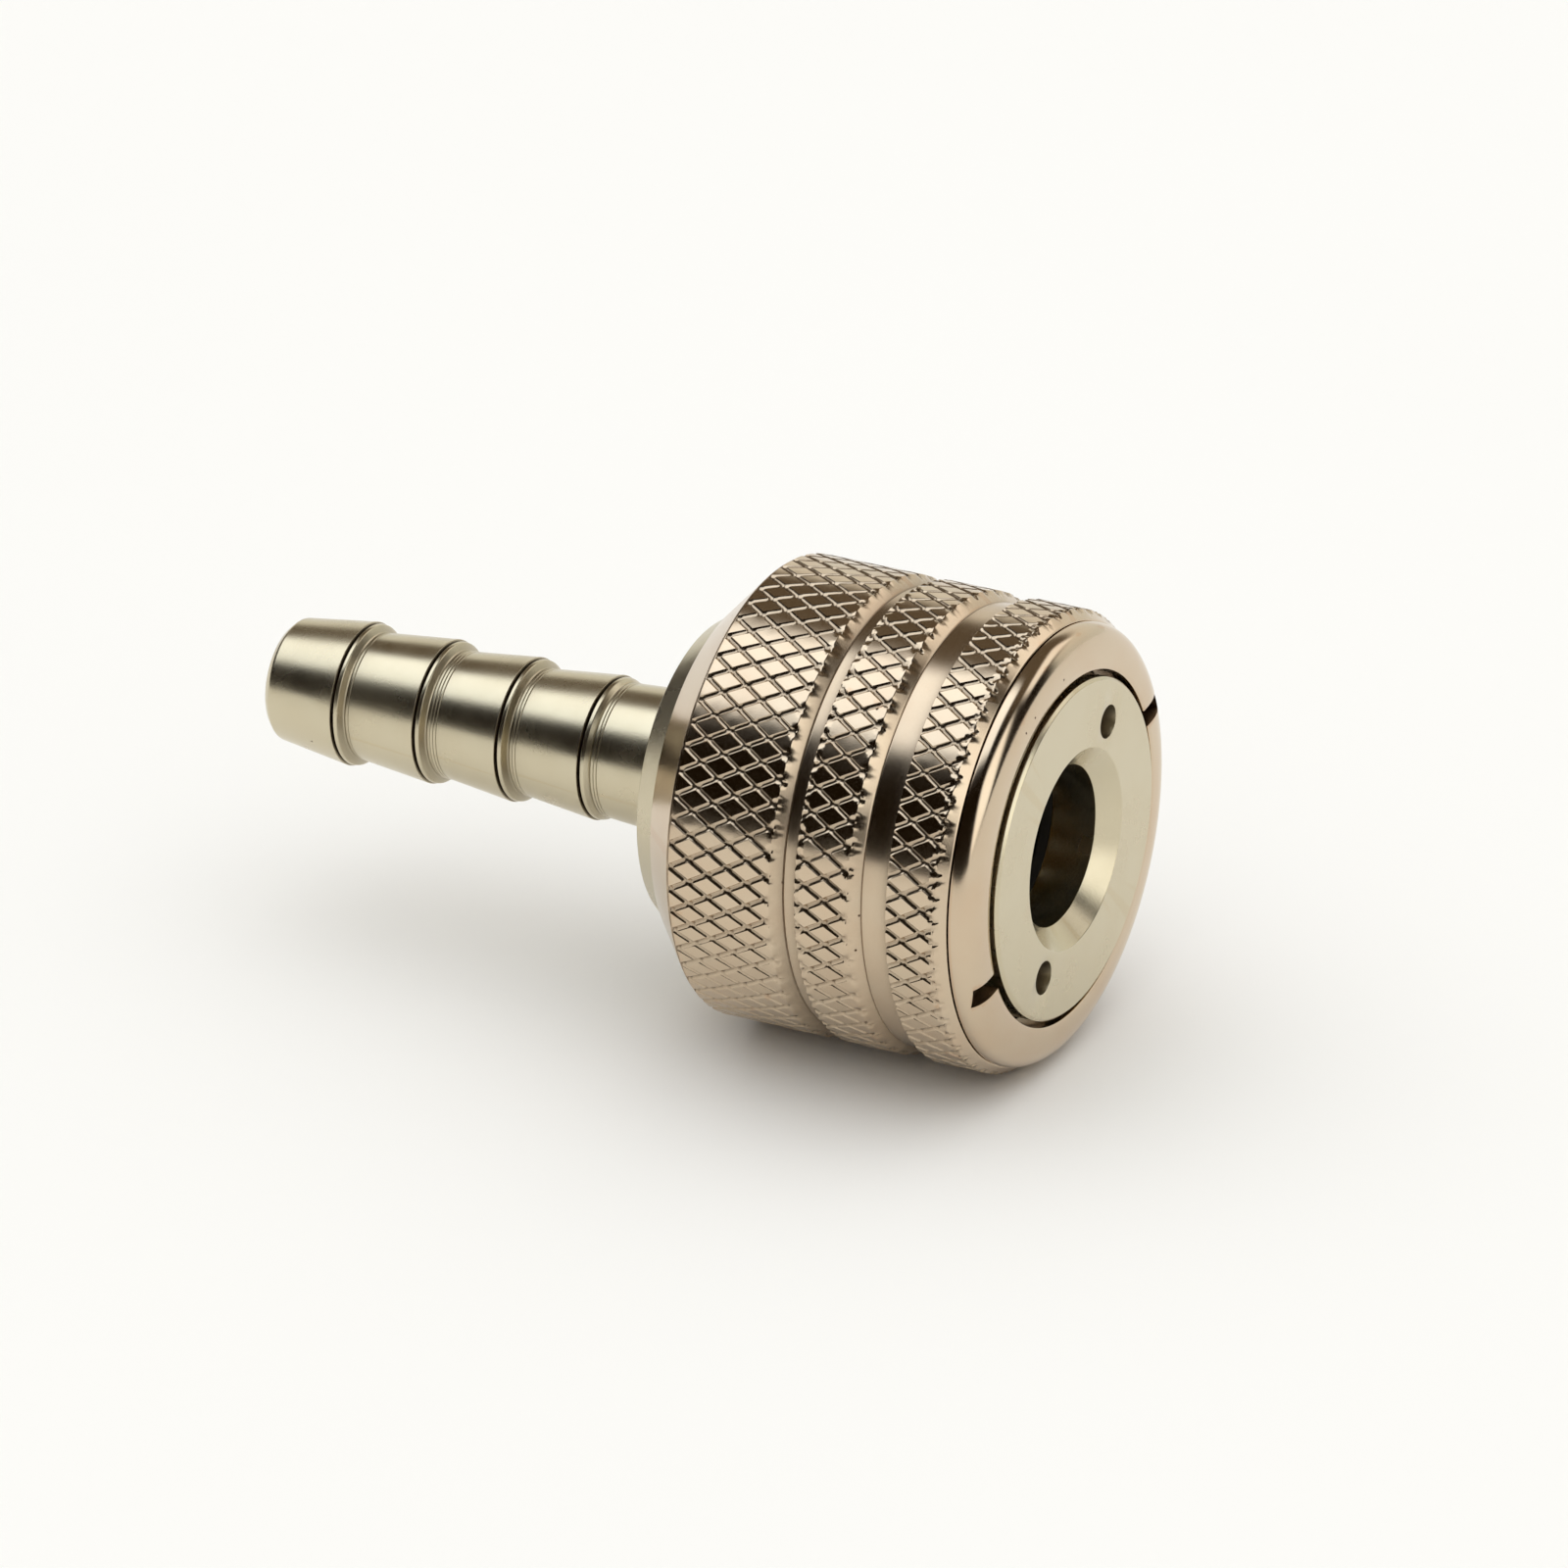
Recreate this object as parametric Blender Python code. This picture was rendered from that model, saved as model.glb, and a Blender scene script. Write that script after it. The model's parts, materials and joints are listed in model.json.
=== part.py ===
"""Ball-lock quick-connect socket for a gas hose, as separate solids.

Everything is turned about the X axis. The origin is on that axis, in the hub's rear face, where the end
of the hose stops. The nose, where the plug goes in, points to +X and the hose tail points to -X.
Lengths are millimetres here and become metres when a mesh is made.
"""

import math

import bmesh
import bpy
from mathutils import Matrix, Vector

MM = 0.001
GAP = 0.1  # between pieces that touch or are clamped together

# How finely round shapes are cut
LARGE_SEGMENTS = 40
SMALL_SEGMENTS = 28
HOLE_SEGMENTS = 16

# Hose tail: four barbs, a hub and the spigot that screws into the barrel
GAS_BORE_R = 2.5
BARB_COUNT = 4
BARB_PITCH = 6.0
BARB_CREST_R = 4.75
BARB_ROOT_R = 4.2
BARB_LAND = 0.4
FIRST_CREST_X = -25.0
TAIL_END_X = -30.5
TAIL_TIP_R = 4.05
TAIL_TIP_CHAMFER = 0.45
SHANK_R = 4.42
SHANK_END_R = 4.85
HUB_REAR_R = 9.9
HUB_R = 11.3
HUB_CONE_LENGTH = 1.95
HUB_FRONT_X = 3.2
SPIGOT_R = 6.9
SPIGOT_END_X = 6.2
TAIL_CHAMFER = 0.3

# Barrel: holds the valve, the balls, the plug's seal and the nose insert
BARREL_REAR_X = 4.2
BARREL_FRONT_X = 23.4
BARREL_R = 9.0
BARREL_CHAMFER = 0.3
REAR_COUNTERBORE_R = 7.0
CHAMBER_START_X = 7.2
CHAMBER_R = 6.2
SEAT_START_X = 12.2
PLUG_BORE_R = 5.25
SEAL_SHOULDER_X = 18.9
FRONT_COUNTERBORE_R = 7.2

# Lock balls, and the tapered pockets that keep them from falling into the bore
BALL_COUNT = 6
BALL_R = 2.25
BALL_X = 16.2
BALL_CENTRE_R = 6.65
POCKET_R = 2.35
POCKET_WELL_R = 2.4
POCKET_MOUTH_R = 1.9
POCKET_TAPER_END_R = 6.2
FIRST_BALL_ANGLE = math.radians(30)
RELEASED_BALL_RISE = 0.8

# Shut-off valve
GUIDE_THICKNESS = 0.7
GUIDE_BORE_R = 1.35
GUIDE_GAS_HOLES = 4
GUIDE_GAS_HOLE_R = 1.0
GUIDE_GAS_HOLE_CENTRE_R = 4.9
STEM_R = 1.2
STEM_END_X = 6.0
POPPET_BACK_X = 10.9
POPPET_BACK_R = 5.9
POPPET_GROOVE_START_X = 11.5
POPPET_GROOVE_END_X = 12.75
POPPET_GROOVE_R = 4.7
POPPET_NOSE_R = 5.0
POPPET_NOSE_X = 14.5
POPPET_DISH_R = 3.6
POPPET_DISH_DEPTH = 0.8
POPPET_SEAL_X = 12.1
POPPET_SEAL_CENTRE_R = 5.35
POPPET_SEAL_SECTION_R = 0.55
VALVE_SPRING_REAR_R = 2.5  # conical, so that its turns nest when the valve is open
VALVE_SPRING_FRONT_R = 4.4
VALVE_SPRING_WIRE_R = 0.25
VALVE_SPRING_TURNS = 3

# Seal round the plug, and the ring that backs it
PLUG_SEAL_X = 20.0
PLUG_SEAL_CENTRE_R = 5.9
PLUG_SEAL_SECTION_R = 0.95
BACKUP_RING_START_X = 21.05
BACKUP_RING_END_X = 21.75
BACKUP_RING_INNER_R = 5.35
BACKUP_RING_OUTER_R = 7.05

# Nose insert: the countersunk disc that closes the front, with two holes for a pin spanner
NOSE_FACE_X = 26.1
NOSE_R = 11.1
NOSE_EDGE_CHAMFER = 0.2
NOSE_BACK_X = 23.5
NOSE_SPIGOT_START_X = 21.85
NOSE_SPIGOT_R = 7.1
COUNTERSINK_R = 6.6
COUNTERSINK_DEPTH = 1.2
PIN_HOLE_R = 1.1
PIN_HOLE_DEPTH = 1.8
PIN_CIRCLE_R = 8.35
PIN_ANGLE = math.radians(57.7)  # from +Y towards +Z

# Sliding sleeve with three gripping bands and two grooves
SLEEVE_R = 15.0
SLEEVE_REAR_X = 1.95
SLEEVE_BORE_R = 11.5
BAND_ENDS = ((4.9, 12.0), (13.8, 17.45), (20.2, 23.5))
BAND_CHAMFER_LENGTH = 0.7
GROOVE_R = 14.4
SLEEVE_FRONT_X = 24.2
SLEEVE_FRONT_R = 14.4
SPRING_SHOULDER_X = 12.5
LAND_R = 9.15
SLEEVE_TRAVEL = 3.5
RAMP_END_X = 20.5
RELIEF_R = 10.2
STOP_SHOULDER_X = 22.4
FRONT_BORE_R = 13.1

# Sleeve spring and the two washers that slide with the sleeve
SLEEVE_SPRING_CENTRE_R = 10.2
SLEEVE_SPRING_WIRE_R = 0.4
SLEEVE_SPRING_TURNS = 4
THRUST_WASHER_THICKNESS = 0.8
THRUST_WASHER_R = 11.35
STOP_WASHER_THICKNESS = 0.9
STOP_WASHER_R = 12.9

# Lock ring screwed into the sleeve's front, with two slots for a spanner
RING_SKIRT_R = 13.0
RING_BORE_R = 11.53
RING_BACK_X = 24.3
RING_OUTER_R = 14.35
RING_FACE_X = 25.8
RING_FACE_R = 12.0
RING_ROUND_STEPS = 5
SLOT_WIDTH = 1.35
SLOT_LENGTH = 3.2
SLOT_MIDDLE_R = 12.35
SLOT_FLOOR_X = 24.7
SLOT_ANGLE = math.radians(23)  # from +Y towards +Z
SLOT_SKEW = math.radians(-14)  # how far it leans from the radius

# Finishes: colour, metallic, roughness
FINISHES = {
    "nickel_tail": ((0.52, 0.46, 0.34), 1.0, 0.25),
    "nickel_sleeve": ((0.58, 0.47, 0.36), 1.0, 0.22),
    "brass": ((0.62, 0.45, 0.20), 1.0, 0.30),
    "steel": ((0.55, 0.55, 0.55), 1.0, 0.20),
    "seal_rubber": ((0.03, 0.03, 0.03), 0.0, 0.60),
    "ptfe": ((0.03, 0.03, 0.03), 0.0, 0.50),
}


def make_material(name):
    """Returns one finish as a Principled material."""
    colour, metallic, roughness = FINISHES[name]
    material = bpy.data.materials.new(name)
    material.use_nodes = True
    shader = material.node_tree.nodes["Principled BSDF"]
    shader.inputs["Base Color"].default_value = (*colour, 1.0)
    shader.inputs["Metallic"].default_value = metallic
    shader.inputs["Roughness"].default_value = roughness
    return material


def empty(name, parent=None):
    """Returns an empty on the axis, which carries the pieces of one body."""
    holder = bpy.data.objects.new(name, None)
    holder.empty_display_size = 5 * MM
    holder.parent = parent
    bpy.context.collection.objects.link(holder)
    return holder


def object_from(bm, name, finish=None, parent=None, location=(0, 0, 0)):
    """Turns a bmesh into a named object whose faces point out."""
    bmesh.ops.remove_doubles(bm, verts=bm.verts, dist=1e-7)
    bmesh.ops.recalc_face_normals(bm, faces=bm.faces)
    mesh = bpy.data.meshes.new(name)
    bm.to_mesh(mesh)
    bm.free()
    mesh.shade_smooth()
    mesh.set_sharp_from_angle(angle=math.radians(30))
    piece = bpy.data.objects.new(name, mesh)
    piece.location = location
    piece.parent = parent
    bpy.context.collection.objects.link(piece)
    if finish:
        mesh.materials.append(bpy.data.materials[finish])
    return piece


def turned(name, outline, finish, parent, segments=LARGE_SEGMENTS):
    """Spins a closed outline of (x, radius) points round the X axis."""
    bm = bmesh.new()
    points = [bm.verts.new((x * MM, 0, r * MM)) for x, r in outline]
    for start, end in zip(points, points[1:] + points[:1]):
        if start.co.z > 0 or end.co.z > 0:
            bm.edges.new((start, end))
    bmesh.ops.spin(
        bm,
        geom=bm.verts[:] + bm.edges[:],
        axis=(1, 0, 0),
        cent=(0, 0, 0),
        angle=math.tau,
        steps=segments,
        use_merge=True,
    )
    return object_from(bm, name, finish, parent)


def ring(name, start_x, end_x, inner_r, outer_r, finish, parent, segments=SMALL_SEGMENTS):
    """A flat ring or washer."""
    outline = [(start_x, inner_r), (start_x, outer_r), (end_x, outer_r), (end_x, inner_r)]
    return turned(name, outline, finish, parent, segments)


def o_ring(name, x, centre_r, section_r, parent, sides=8):
    """A rubber ring of round section."""
    outline = []
    for side in range(sides):
        angle = math.tau * side / sides
        outline.append((x + section_r * math.cos(angle), centre_r + section_r * math.sin(angle)))
    return turned(name, outline, "seal_rubber", parent, SMALL_SEGMENTS)


def coil_spring(name, start_x, end_x, rear_r, front_r, wire_r, turns, parent):
    """A round-wire spring about the X axis, with its two cut ends closed."""
    sides = 6
    steps_per_turn = 18
    bm = bmesh.new()
    steps = turns * steps_per_turn
    length = (end_x - start_x) - 2 * wire_r
    rings = []
    for step in range(steps + 1):
        angle = math.tau * step / steps_per_turn
        outward = Vector((0, math.cos(angle), math.sin(angle)))
        part_way = step / steps
        centre = outward * (rear_r + (front_r - rear_r) * part_way)
        centre += Vector((start_x + wire_r + length * part_way, 0, 0))
        section = []
        for side in range(sides):
            turn = math.tau * (side + 0.5) / sides
            offset = outward * math.cos(turn) + Vector((math.sin(turn), 0, 0))
            section.append(bm.verts.new((centre + offset * wire_r) * MM))
        rings.append(section)
    for before, after in zip(rings, rings[1:]):
        for side in range(sides):
            other = (side + 1) % sides
            bm.faces.new((before[side], before[other], after[other], after[side]))
    bm.faces.new(rings[0])
    bm.faces.new(rings[-1])
    return object_from(bm, name, "steel", parent)


def add_tapered_post(bm, base, direction, length, base_r, end_r):
    """Adds a closed post that starts at base and runs along direction, for cutting a hole."""
    along = Vector(direction).normalized()
    turn = Vector((0, 0, 1)).rotation_difference(along).to_matrix().to_4x4()
    middle = Vector(base) + along * length / 2
    bmesh.ops.create_cone(
        bm,
        cap_ends=True,
        segments=HOLE_SEGMENTS,
        radius1=base_r * MM,
        radius2=end_r * MM,
        depth=length * MM,
        matrix=Matrix.Translation(middle * MM) @ turn,
    )


def cut(piece, bm, name):
    """Cuts the bmesh's closed shapes out of a piece."""
    cutter = object_from(bm, name)
    cutter.hide_render = True
    cutter.display_type = "WIRE"
    boolean = piece.modifiers.new(name, "BOOLEAN")
    boolean.operation = "DIFFERENCE"
    boolean.object = cutter


def radial(angle, radius=1.0, x=0.0):
    """A point at an angle from +Y towards +Z, at a radius from the axis."""
    return Vector((x, radius * math.cos(angle), radius * math.sin(angle)))


def make_hose_tail(parent):
    """Barbed tail, hub and threaded spigot in one turned piece."""
    outline = [(TAIL_END_X, GAS_BORE_R), (TAIL_END_X, TAIL_TIP_R - TAIL_TIP_CHAMFER)]
    outline.append((TAIL_END_X + TAIL_TIP_CHAMFER, TAIL_TIP_R))
    for barb in range(BARB_COUNT):
        crest_x = FIRST_CREST_X + barb * BARB_PITCH
        root_r = BARB_ROOT_R if barb < BARB_COUNT - 1 else SHANK_R
        outline.append((crest_x - BARB_LAND / 2, BARB_CREST_R))
        outline.append((crest_x + BARB_LAND / 2, BARB_CREST_R))
        outline.append((crest_x + BARB_LAND, root_r))
    outline += [
        (0, SHANK_END_R),
        (0, HUB_REAR_R),
        (HUB_CONE_LENGTH, HUB_R),
        (HUB_FRONT_X, HUB_R),
        (HUB_FRONT_X, SPIGOT_R),
        (SPIGOT_END_X - TAIL_CHAMFER, SPIGOT_R),
        (SPIGOT_END_X, SPIGOT_R - TAIL_CHAMFER),
        (SPIGOT_END_X, GAS_BORE_R),
    ]
    turned("hose_tail", outline, "nickel_tail", parent)


def make_barrel(parent):
    """Tube that carries the valve seat, the six ball pockets and the seal housing."""
    seat_length = CHAMBER_R - PLUG_BORE_R
    outline = [
        (BARREL_REAR_X, REAR_COUNTERBORE_R),
        (BARREL_REAR_X, BARREL_R - BARREL_CHAMFER),
        (BARREL_REAR_X + BARREL_CHAMFER, BARREL_R),
        (BARREL_FRONT_X, BARREL_R),
        (BARREL_FRONT_X, FRONT_COUNTERBORE_R),
        (SEAL_SHOULDER_X, FRONT_COUNTERBORE_R),
        (SEAL_SHOULDER_X, PLUG_BORE_R),
        (SEAT_START_X + seat_length, PLUG_BORE_R),
        (SEAT_START_X, CHAMBER_R),
        (CHAMBER_START_X, CHAMBER_R),
        (CHAMBER_START_X, REAR_COUNTERBORE_R),
    ]
    barrel = turned("barrel", outline, "brass", parent)
    pockets = bmesh.new()
    taper = POCKET_TAPER_END_R - PLUG_BORE_R
    narrow_end_r = 2 * POCKET_MOUTH_R - POCKET_R
    for ball in range(BALL_COUNT):
        outward = radial(FIRST_BALL_ANGLE + math.tau * ball / BALL_COUNT)
        base = outward * (PLUG_BORE_R - taper) + Vector((BALL_X, 0, 0))
        add_tapered_post(pockets, base, outward, 2 * taper, narrow_end_r, POCKET_R)
    cut(barrel, pockets, "pocket_tapers")
    wells = bmesh.new()
    well_length = BARREL_R - POCKET_TAPER_END_R + 1
    for ball in range(BALL_COUNT):
        outward = radial(FIRST_BALL_ANGLE + math.tau * ball / BALL_COUNT)
        base = outward * (POCKET_TAPER_END_R - GAP) + Vector((BALL_X, 0, 0))
        add_tapered_post(wells, base, outward, well_length, POCKET_WELL_R, POCKET_WELL_R)
    cut(barrel, wells, "pocket_wells")


def make_balls(parent):
    """Six steel balls, each a piece of its own at its own centre."""
    for ball in range(BALL_COUNT):
        bm = bmesh.new()
        bmesh.ops.create_icosphere(bm, subdivisions=3, radius=BALL_R * MM)
        centre = radial(FIRST_BALL_ANGLE + math.tau * ball / BALL_COUNT, BALL_CENTRE_R, BALL_X)
        object_from(bm, f"lock_ball_{ball + 1}", "steel", parent, centre * MM)


def make_valve(housing, poppet_body):
    """Guide, spring, poppet and poppet seal."""
    guide_front_x = CHAMBER_START_X - GAP
    guide_back_x = guide_front_x - GUIDE_THICKNESS
    guide_r = REAR_COUNTERBORE_R - GAP
    guide = ring(
        "valve_guide", guide_back_x, guide_front_x, GUIDE_BORE_R, guide_r, "brass", housing, HOLE_SEGMENTS * 2
    )
    gas_holes = bmesh.new()
    for hole in range(GUIDE_GAS_HOLES):
        angle = math.tau * hole / GUIDE_GAS_HOLES
        base = radial(angle, GUIDE_GAS_HOLE_CENTRE_R, guide_back_x - 1)
        add_tapered_post(
            gas_holes, base, (1, 0, 0), GUIDE_THICKNESS + 2, GUIDE_GAS_HOLE_R, GUIDE_GAS_HOLE_R
        )
    cut(guide, gas_holes, "guide_gas_holes")
    coil_spring(
        "valve_spring",
        guide_front_x + GAP,
        POPPET_BACK_X - GAP,
        VALVE_SPRING_REAR_R,
        VALVE_SPRING_FRONT_R,
        VALVE_SPRING_WIRE_R,
        VALVE_SPRING_TURNS,
        housing,
    )
    poppet = [
        (STEM_END_X, 0),
        (STEM_END_X, STEM_R),
        (POPPET_BACK_X, STEM_R),
        (POPPET_BACK_X, POPPET_BACK_R),
        (POPPET_GROOVE_START_X, POPPET_BACK_R),
        (POPPET_GROOVE_START_X, POPPET_GROOVE_R),
        (POPPET_GROOVE_END_X, POPPET_GROOVE_R),
        (POPPET_GROOVE_END_X, POPPET_NOSE_R),
        (POPPET_NOSE_X, POPPET_NOSE_R),
        (POPPET_NOSE_X, POPPET_DISH_R),
        (POPPET_NOSE_X - POPPET_DISH_DEPTH, 0),
    ]
    turned("valve_poppet", poppet, "brass", poppet_body, SMALL_SEGMENTS)
    o_ring("poppet_seal", POPPET_SEAL_X, POPPET_SEAL_CENTRE_R, POPPET_SEAL_SECTION_R, poppet_body)


def make_nose(parent):
    """Plug seal, backup ring and the nose insert that holds them in the barrel."""
    o_ring("plug_seal", PLUG_SEAL_X, PLUG_SEAL_CENTRE_R, PLUG_SEAL_SECTION_R, parent)
    ring(
        "backup_ring",
        BACKUP_RING_START_X,
        BACKUP_RING_END_X,
        BACKUP_RING_INNER_R,
        BACKUP_RING_OUTER_R,
        "ptfe",
        parent,
    )
    outline = [
        (NOSE_SPIGOT_START_X, PLUG_BORE_R),
        (NOSE_SPIGOT_START_X, NOSE_SPIGOT_R),
        (NOSE_BACK_X, NOSE_SPIGOT_R),
        (NOSE_BACK_X, NOSE_R),
        (NOSE_FACE_X - NOSE_EDGE_CHAMFER, NOSE_R),
        (NOSE_FACE_X, NOSE_R - NOSE_EDGE_CHAMFER),
        (NOSE_FACE_X, COUNTERSINK_R),
        (NOSE_FACE_X - COUNTERSINK_DEPTH, PLUG_BORE_R),
    ]
    nose = turned("nose_insert", outline, "nickel_tail", parent)
    pin_holes = bmesh.new()
    for angle in (PIN_ANGLE, PIN_ANGLE + math.pi):
        base = radial(angle, PIN_CIRCLE_R, NOSE_FACE_X - PIN_HOLE_DEPTH)
        add_tapered_post(pin_holes, base, (1, 0, 0), PIN_HOLE_DEPTH + 1, PIN_HOLE_R, PIN_HOLE_R)
    cut(nose, pin_holes, "pin_holes")


def make_sleeve(parent):
    """Sliding sleeve: gripping bands outside, and the land and ramp that work the balls inside."""
    ramp_slope = RELEASED_BALL_RISE / SLEEVE_TRAVEL
    ball_clearance = (BALL_R + GAP) * math.sqrt(1 + ramp_slope**2)
    ramp_r_over_ball = BALL_CENTRE_R + ball_clearance
    ramp_start_x = BALL_X + (LAND_R - ramp_r_over_ball) / ramp_slope
    ramp_end_r = ramp_r_over_ball + ramp_slope * (RAMP_END_X - BALL_X)
    outline = [(SLEEVE_REAR_X, SLEEVE_BORE_R), (SLEEVE_REAR_X, SLEEVE_BORE_R + GAP)]
    for band, (start_x, end_x) in enumerate(BAND_ENDS):
        outline += [(start_x, SLEEVE_R), (end_x, SLEEVE_R)]
        if band < len(BAND_ENDS) - 1:
            outline += [(end_x + BAND_CHAMFER_LENGTH, GROOVE_R), (BAND_ENDS[band + 1][0], GROOVE_R)]
    outline += [
        (SLEEVE_FRONT_X, SLEEVE_FRONT_R),
        (SLEEVE_FRONT_X, FRONT_BORE_R),
        (STOP_SHOULDER_X, FRONT_BORE_R),
        (STOP_SHOULDER_X, RELIEF_R),
        (RAMP_END_X, RELIEF_R),
        (RAMP_END_X, ramp_end_r),
        (ramp_start_x, LAND_R),
        (SPRING_SHOULDER_X, LAND_R),
        (SPRING_SHOULDER_X, SLEEVE_BORE_R),
    ]
    turned("sleeve", outline, "nickel_sleeve", parent)


def make_lock_ring(parent):
    """Rounded ring at the front of the sleeve, with a skirt inside it and two spanner slots."""
    skirt_back_x = STOP_SHOULDER_X + STOP_WASHER_THICKNESS + 2 * GAP
    outline = [
        (skirt_back_x, RING_BORE_R),
        (skirt_back_x, RING_SKIRT_R),
        (RING_BACK_X, RING_SKIRT_R),
        (RING_BACK_X, RING_OUTER_R),
    ]
    round_length = RING_FACE_X - RING_BACK_X
    round_height = RING_OUTER_R - RING_FACE_R
    for step in range(1, RING_ROUND_STEPS + 1):
        angle = math.pi / 2 * step / RING_ROUND_STEPS
        x = RING_BACK_X + round_length * math.sin(angle)
        outline.append((x, RING_FACE_R + round_height * math.cos(angle)))
    outline.append((RING_FACE_X, RING_BORE_R))
    lock_ring = turned("lock_ring", outline, "nickel_sleeve", parent)
    slots = bmesh.new()
    slot_depth = RING_FACE_X - SLOT_FLOOR_X + 1
    size = Matrix.Diagonal((slot_depth * MM, SLOT_LENGTH * MM, SLOT_WIDTH * MM, 1))
    for angle in (SLOT_ANGLE, SLOT_ANGLE + math.pi):
        middle = radial(angle, SLOT_MIDDLE_R, SLOT_FLOOR_X + slot_depth / 2)
        place = Matrix.Translation(middle * MM) @ Matrix.Rotation(angle + SLOT_SKEW, 4, "X")
        bmesh.ops.create_cube(slots, size=1, matrix=place @ size)
    cut(lock_ring, slots, "spanner_slots")


def make_slider(housing, slider):
    """Sleeve spring, and the two washers that slide with the sleeve but don't turn with it."""
    washer_front_x = SPRING_SHOULDER_X - GAP
    washer_back_x = washer_front_x - THRUST_WASHER_THICKNESS
    coil_spring(
        "sleeve_spring",
        HUB_FRONT_X + GAP,
        washer_back_x - GAP,
        SLEEVE_SPRING_CENTRE_R,
        SLEEVE_SPRING_CENTRE_R,
        SLEEVE_SPRING_WIRE_R,
        SLEEVE_SPRING_TURNS,
        housing,
    )
    ring(
        "thrust_washer",
        washer_back_x,
        washer_front_x,
        LAND_R,
        THRUST_WASHER_R,
        "ptfe",
        slider,
        LARGE_SEGMENTS,
    )
    stop_back_x = STOP_SHOULDER_X + GAP
    ring(
        "stop_washer",
        stop_back_x,
        stop_back_x + STOP_WASHER_THICKNESS,
        LAND_R,
        STOP_WASHER_R,
        "steel",
        slider,
        LARGE_SEGMENTS,
    )


def main():
    for old in list(bpy.data.objects):
        bpy.data.objects.remove(old, do_unlink=True)
    for finish in FINISHES:
        make_material(finish)
    housing = empty("housing")
    slider = empty("slider", housing)
    sleeve_body = empty("sleeve_body", slider)
    poppet_body = empty("poppet_body", housing)
    make_hose_tail(housing)
    gasket_start_x = HUB_FRONT_X + GAP
    gasket_end_x = BARREL_REAR_X - GAP
    gasket_inner_r = REAR_COUNTERBORE_R
    ring("tail_gasket", gasket_start_x, gasket_end_x, gasket_inner_r, BARREL_R - GAP, "ptfe", housing)
    make_barrel(housing)
    make_balls(housing)
    make_valve(housing, poppet_body)
    make_nose(housing)
    make_slider(housing, slider)
    make_sleeve(sleeve_body)
    make_lock_ring(sleeve_body)


main()
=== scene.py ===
"""Finished looks of a ball-lock quick-connect socket for a gas hose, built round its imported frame.

Every piece is turned about the X axis: the hose tail points to -X and the plug goes in from +X. Each
sub-assembly is a class whose fields are its sizes in millimetres, and where a piece starts and ends is
read from the frame. Meshes are made in metres, with their place in their points.
"""

from __future__ import annotations

import json
import logging
import math
from collections.abc import Callable, Iterable, Sequence
from dataclasses import dataclass, field
from enum import Enum

import bmesh
import bpy
import numpy as np
from bmesh.types import BMesh
from bpy.types import Material, Mesh, Node, NodeSocket, NodeTree, Object, bpy_prop_collection
from mathutils import Matrix, Vector

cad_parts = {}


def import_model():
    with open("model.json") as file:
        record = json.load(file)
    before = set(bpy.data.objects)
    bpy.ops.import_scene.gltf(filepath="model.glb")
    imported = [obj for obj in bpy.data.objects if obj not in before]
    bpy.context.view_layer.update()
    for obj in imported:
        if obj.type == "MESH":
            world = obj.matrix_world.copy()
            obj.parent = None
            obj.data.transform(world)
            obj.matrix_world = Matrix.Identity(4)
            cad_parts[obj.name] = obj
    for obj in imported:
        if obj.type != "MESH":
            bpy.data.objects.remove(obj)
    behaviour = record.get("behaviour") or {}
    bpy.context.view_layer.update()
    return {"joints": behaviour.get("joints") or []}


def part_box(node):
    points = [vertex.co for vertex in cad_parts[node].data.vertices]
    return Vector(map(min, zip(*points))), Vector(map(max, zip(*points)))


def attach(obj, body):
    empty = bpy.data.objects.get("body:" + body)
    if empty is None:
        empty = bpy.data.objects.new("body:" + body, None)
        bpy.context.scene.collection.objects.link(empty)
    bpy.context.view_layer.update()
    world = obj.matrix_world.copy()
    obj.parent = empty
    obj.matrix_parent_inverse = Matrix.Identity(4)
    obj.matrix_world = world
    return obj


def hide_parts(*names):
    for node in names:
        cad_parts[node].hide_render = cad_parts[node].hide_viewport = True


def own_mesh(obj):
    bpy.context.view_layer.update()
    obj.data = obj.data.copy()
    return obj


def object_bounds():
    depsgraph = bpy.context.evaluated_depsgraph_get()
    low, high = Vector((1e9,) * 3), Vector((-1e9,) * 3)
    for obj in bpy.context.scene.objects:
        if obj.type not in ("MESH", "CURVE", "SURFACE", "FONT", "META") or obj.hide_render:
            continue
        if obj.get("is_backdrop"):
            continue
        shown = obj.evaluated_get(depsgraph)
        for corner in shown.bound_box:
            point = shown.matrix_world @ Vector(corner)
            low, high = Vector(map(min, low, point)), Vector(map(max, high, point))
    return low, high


LOG = logging.getLogger("gas_socket")
MM = 0.001
SHARP = math.radians(30)
MAP_RANGE, NOISE, SET_POSITION = "ShaderNodeMapRange", "ShaderNodeTexNoise", "GeometryNodeSetPosition"
MATHS = {"Math": "ShaderNodeMath", "Vector": "ShaderNodeVectorMath"}
Corner = tuple[float, float, float]
Paint = str | NodeSocket
Sockets = bpy_prop_collection


class Body(Enum):
    """The moving bodies that pieces ride on."""

    HOUSING = "housing"
    SLIDER = "slider"
    SLEEVE = "sleeve"
    POPPET = "poppet"
    BALL_1 = "ball_1"
    BALL_2 = "ball_2"
    BALL_3 = "ball_3"
    BALL_4 = "ball_4"
    BALL_5 = "ball_5"
    BALL_6 = "ball_6"


class Slot(Enum):
    """The record's material slots."""

    NICKEL_TAIL = "nickel_tail"
    NICKEL_SLEEVE = "nickel_sleeve"
    PLAIN_BRASS = "plain_brass"
    BRIGHT_STEEL = "bright_steel"
    SEAL_RUBBER = "seal_rubber"
    PTFE = "ptfe"


# ---- colours and nodes


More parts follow.
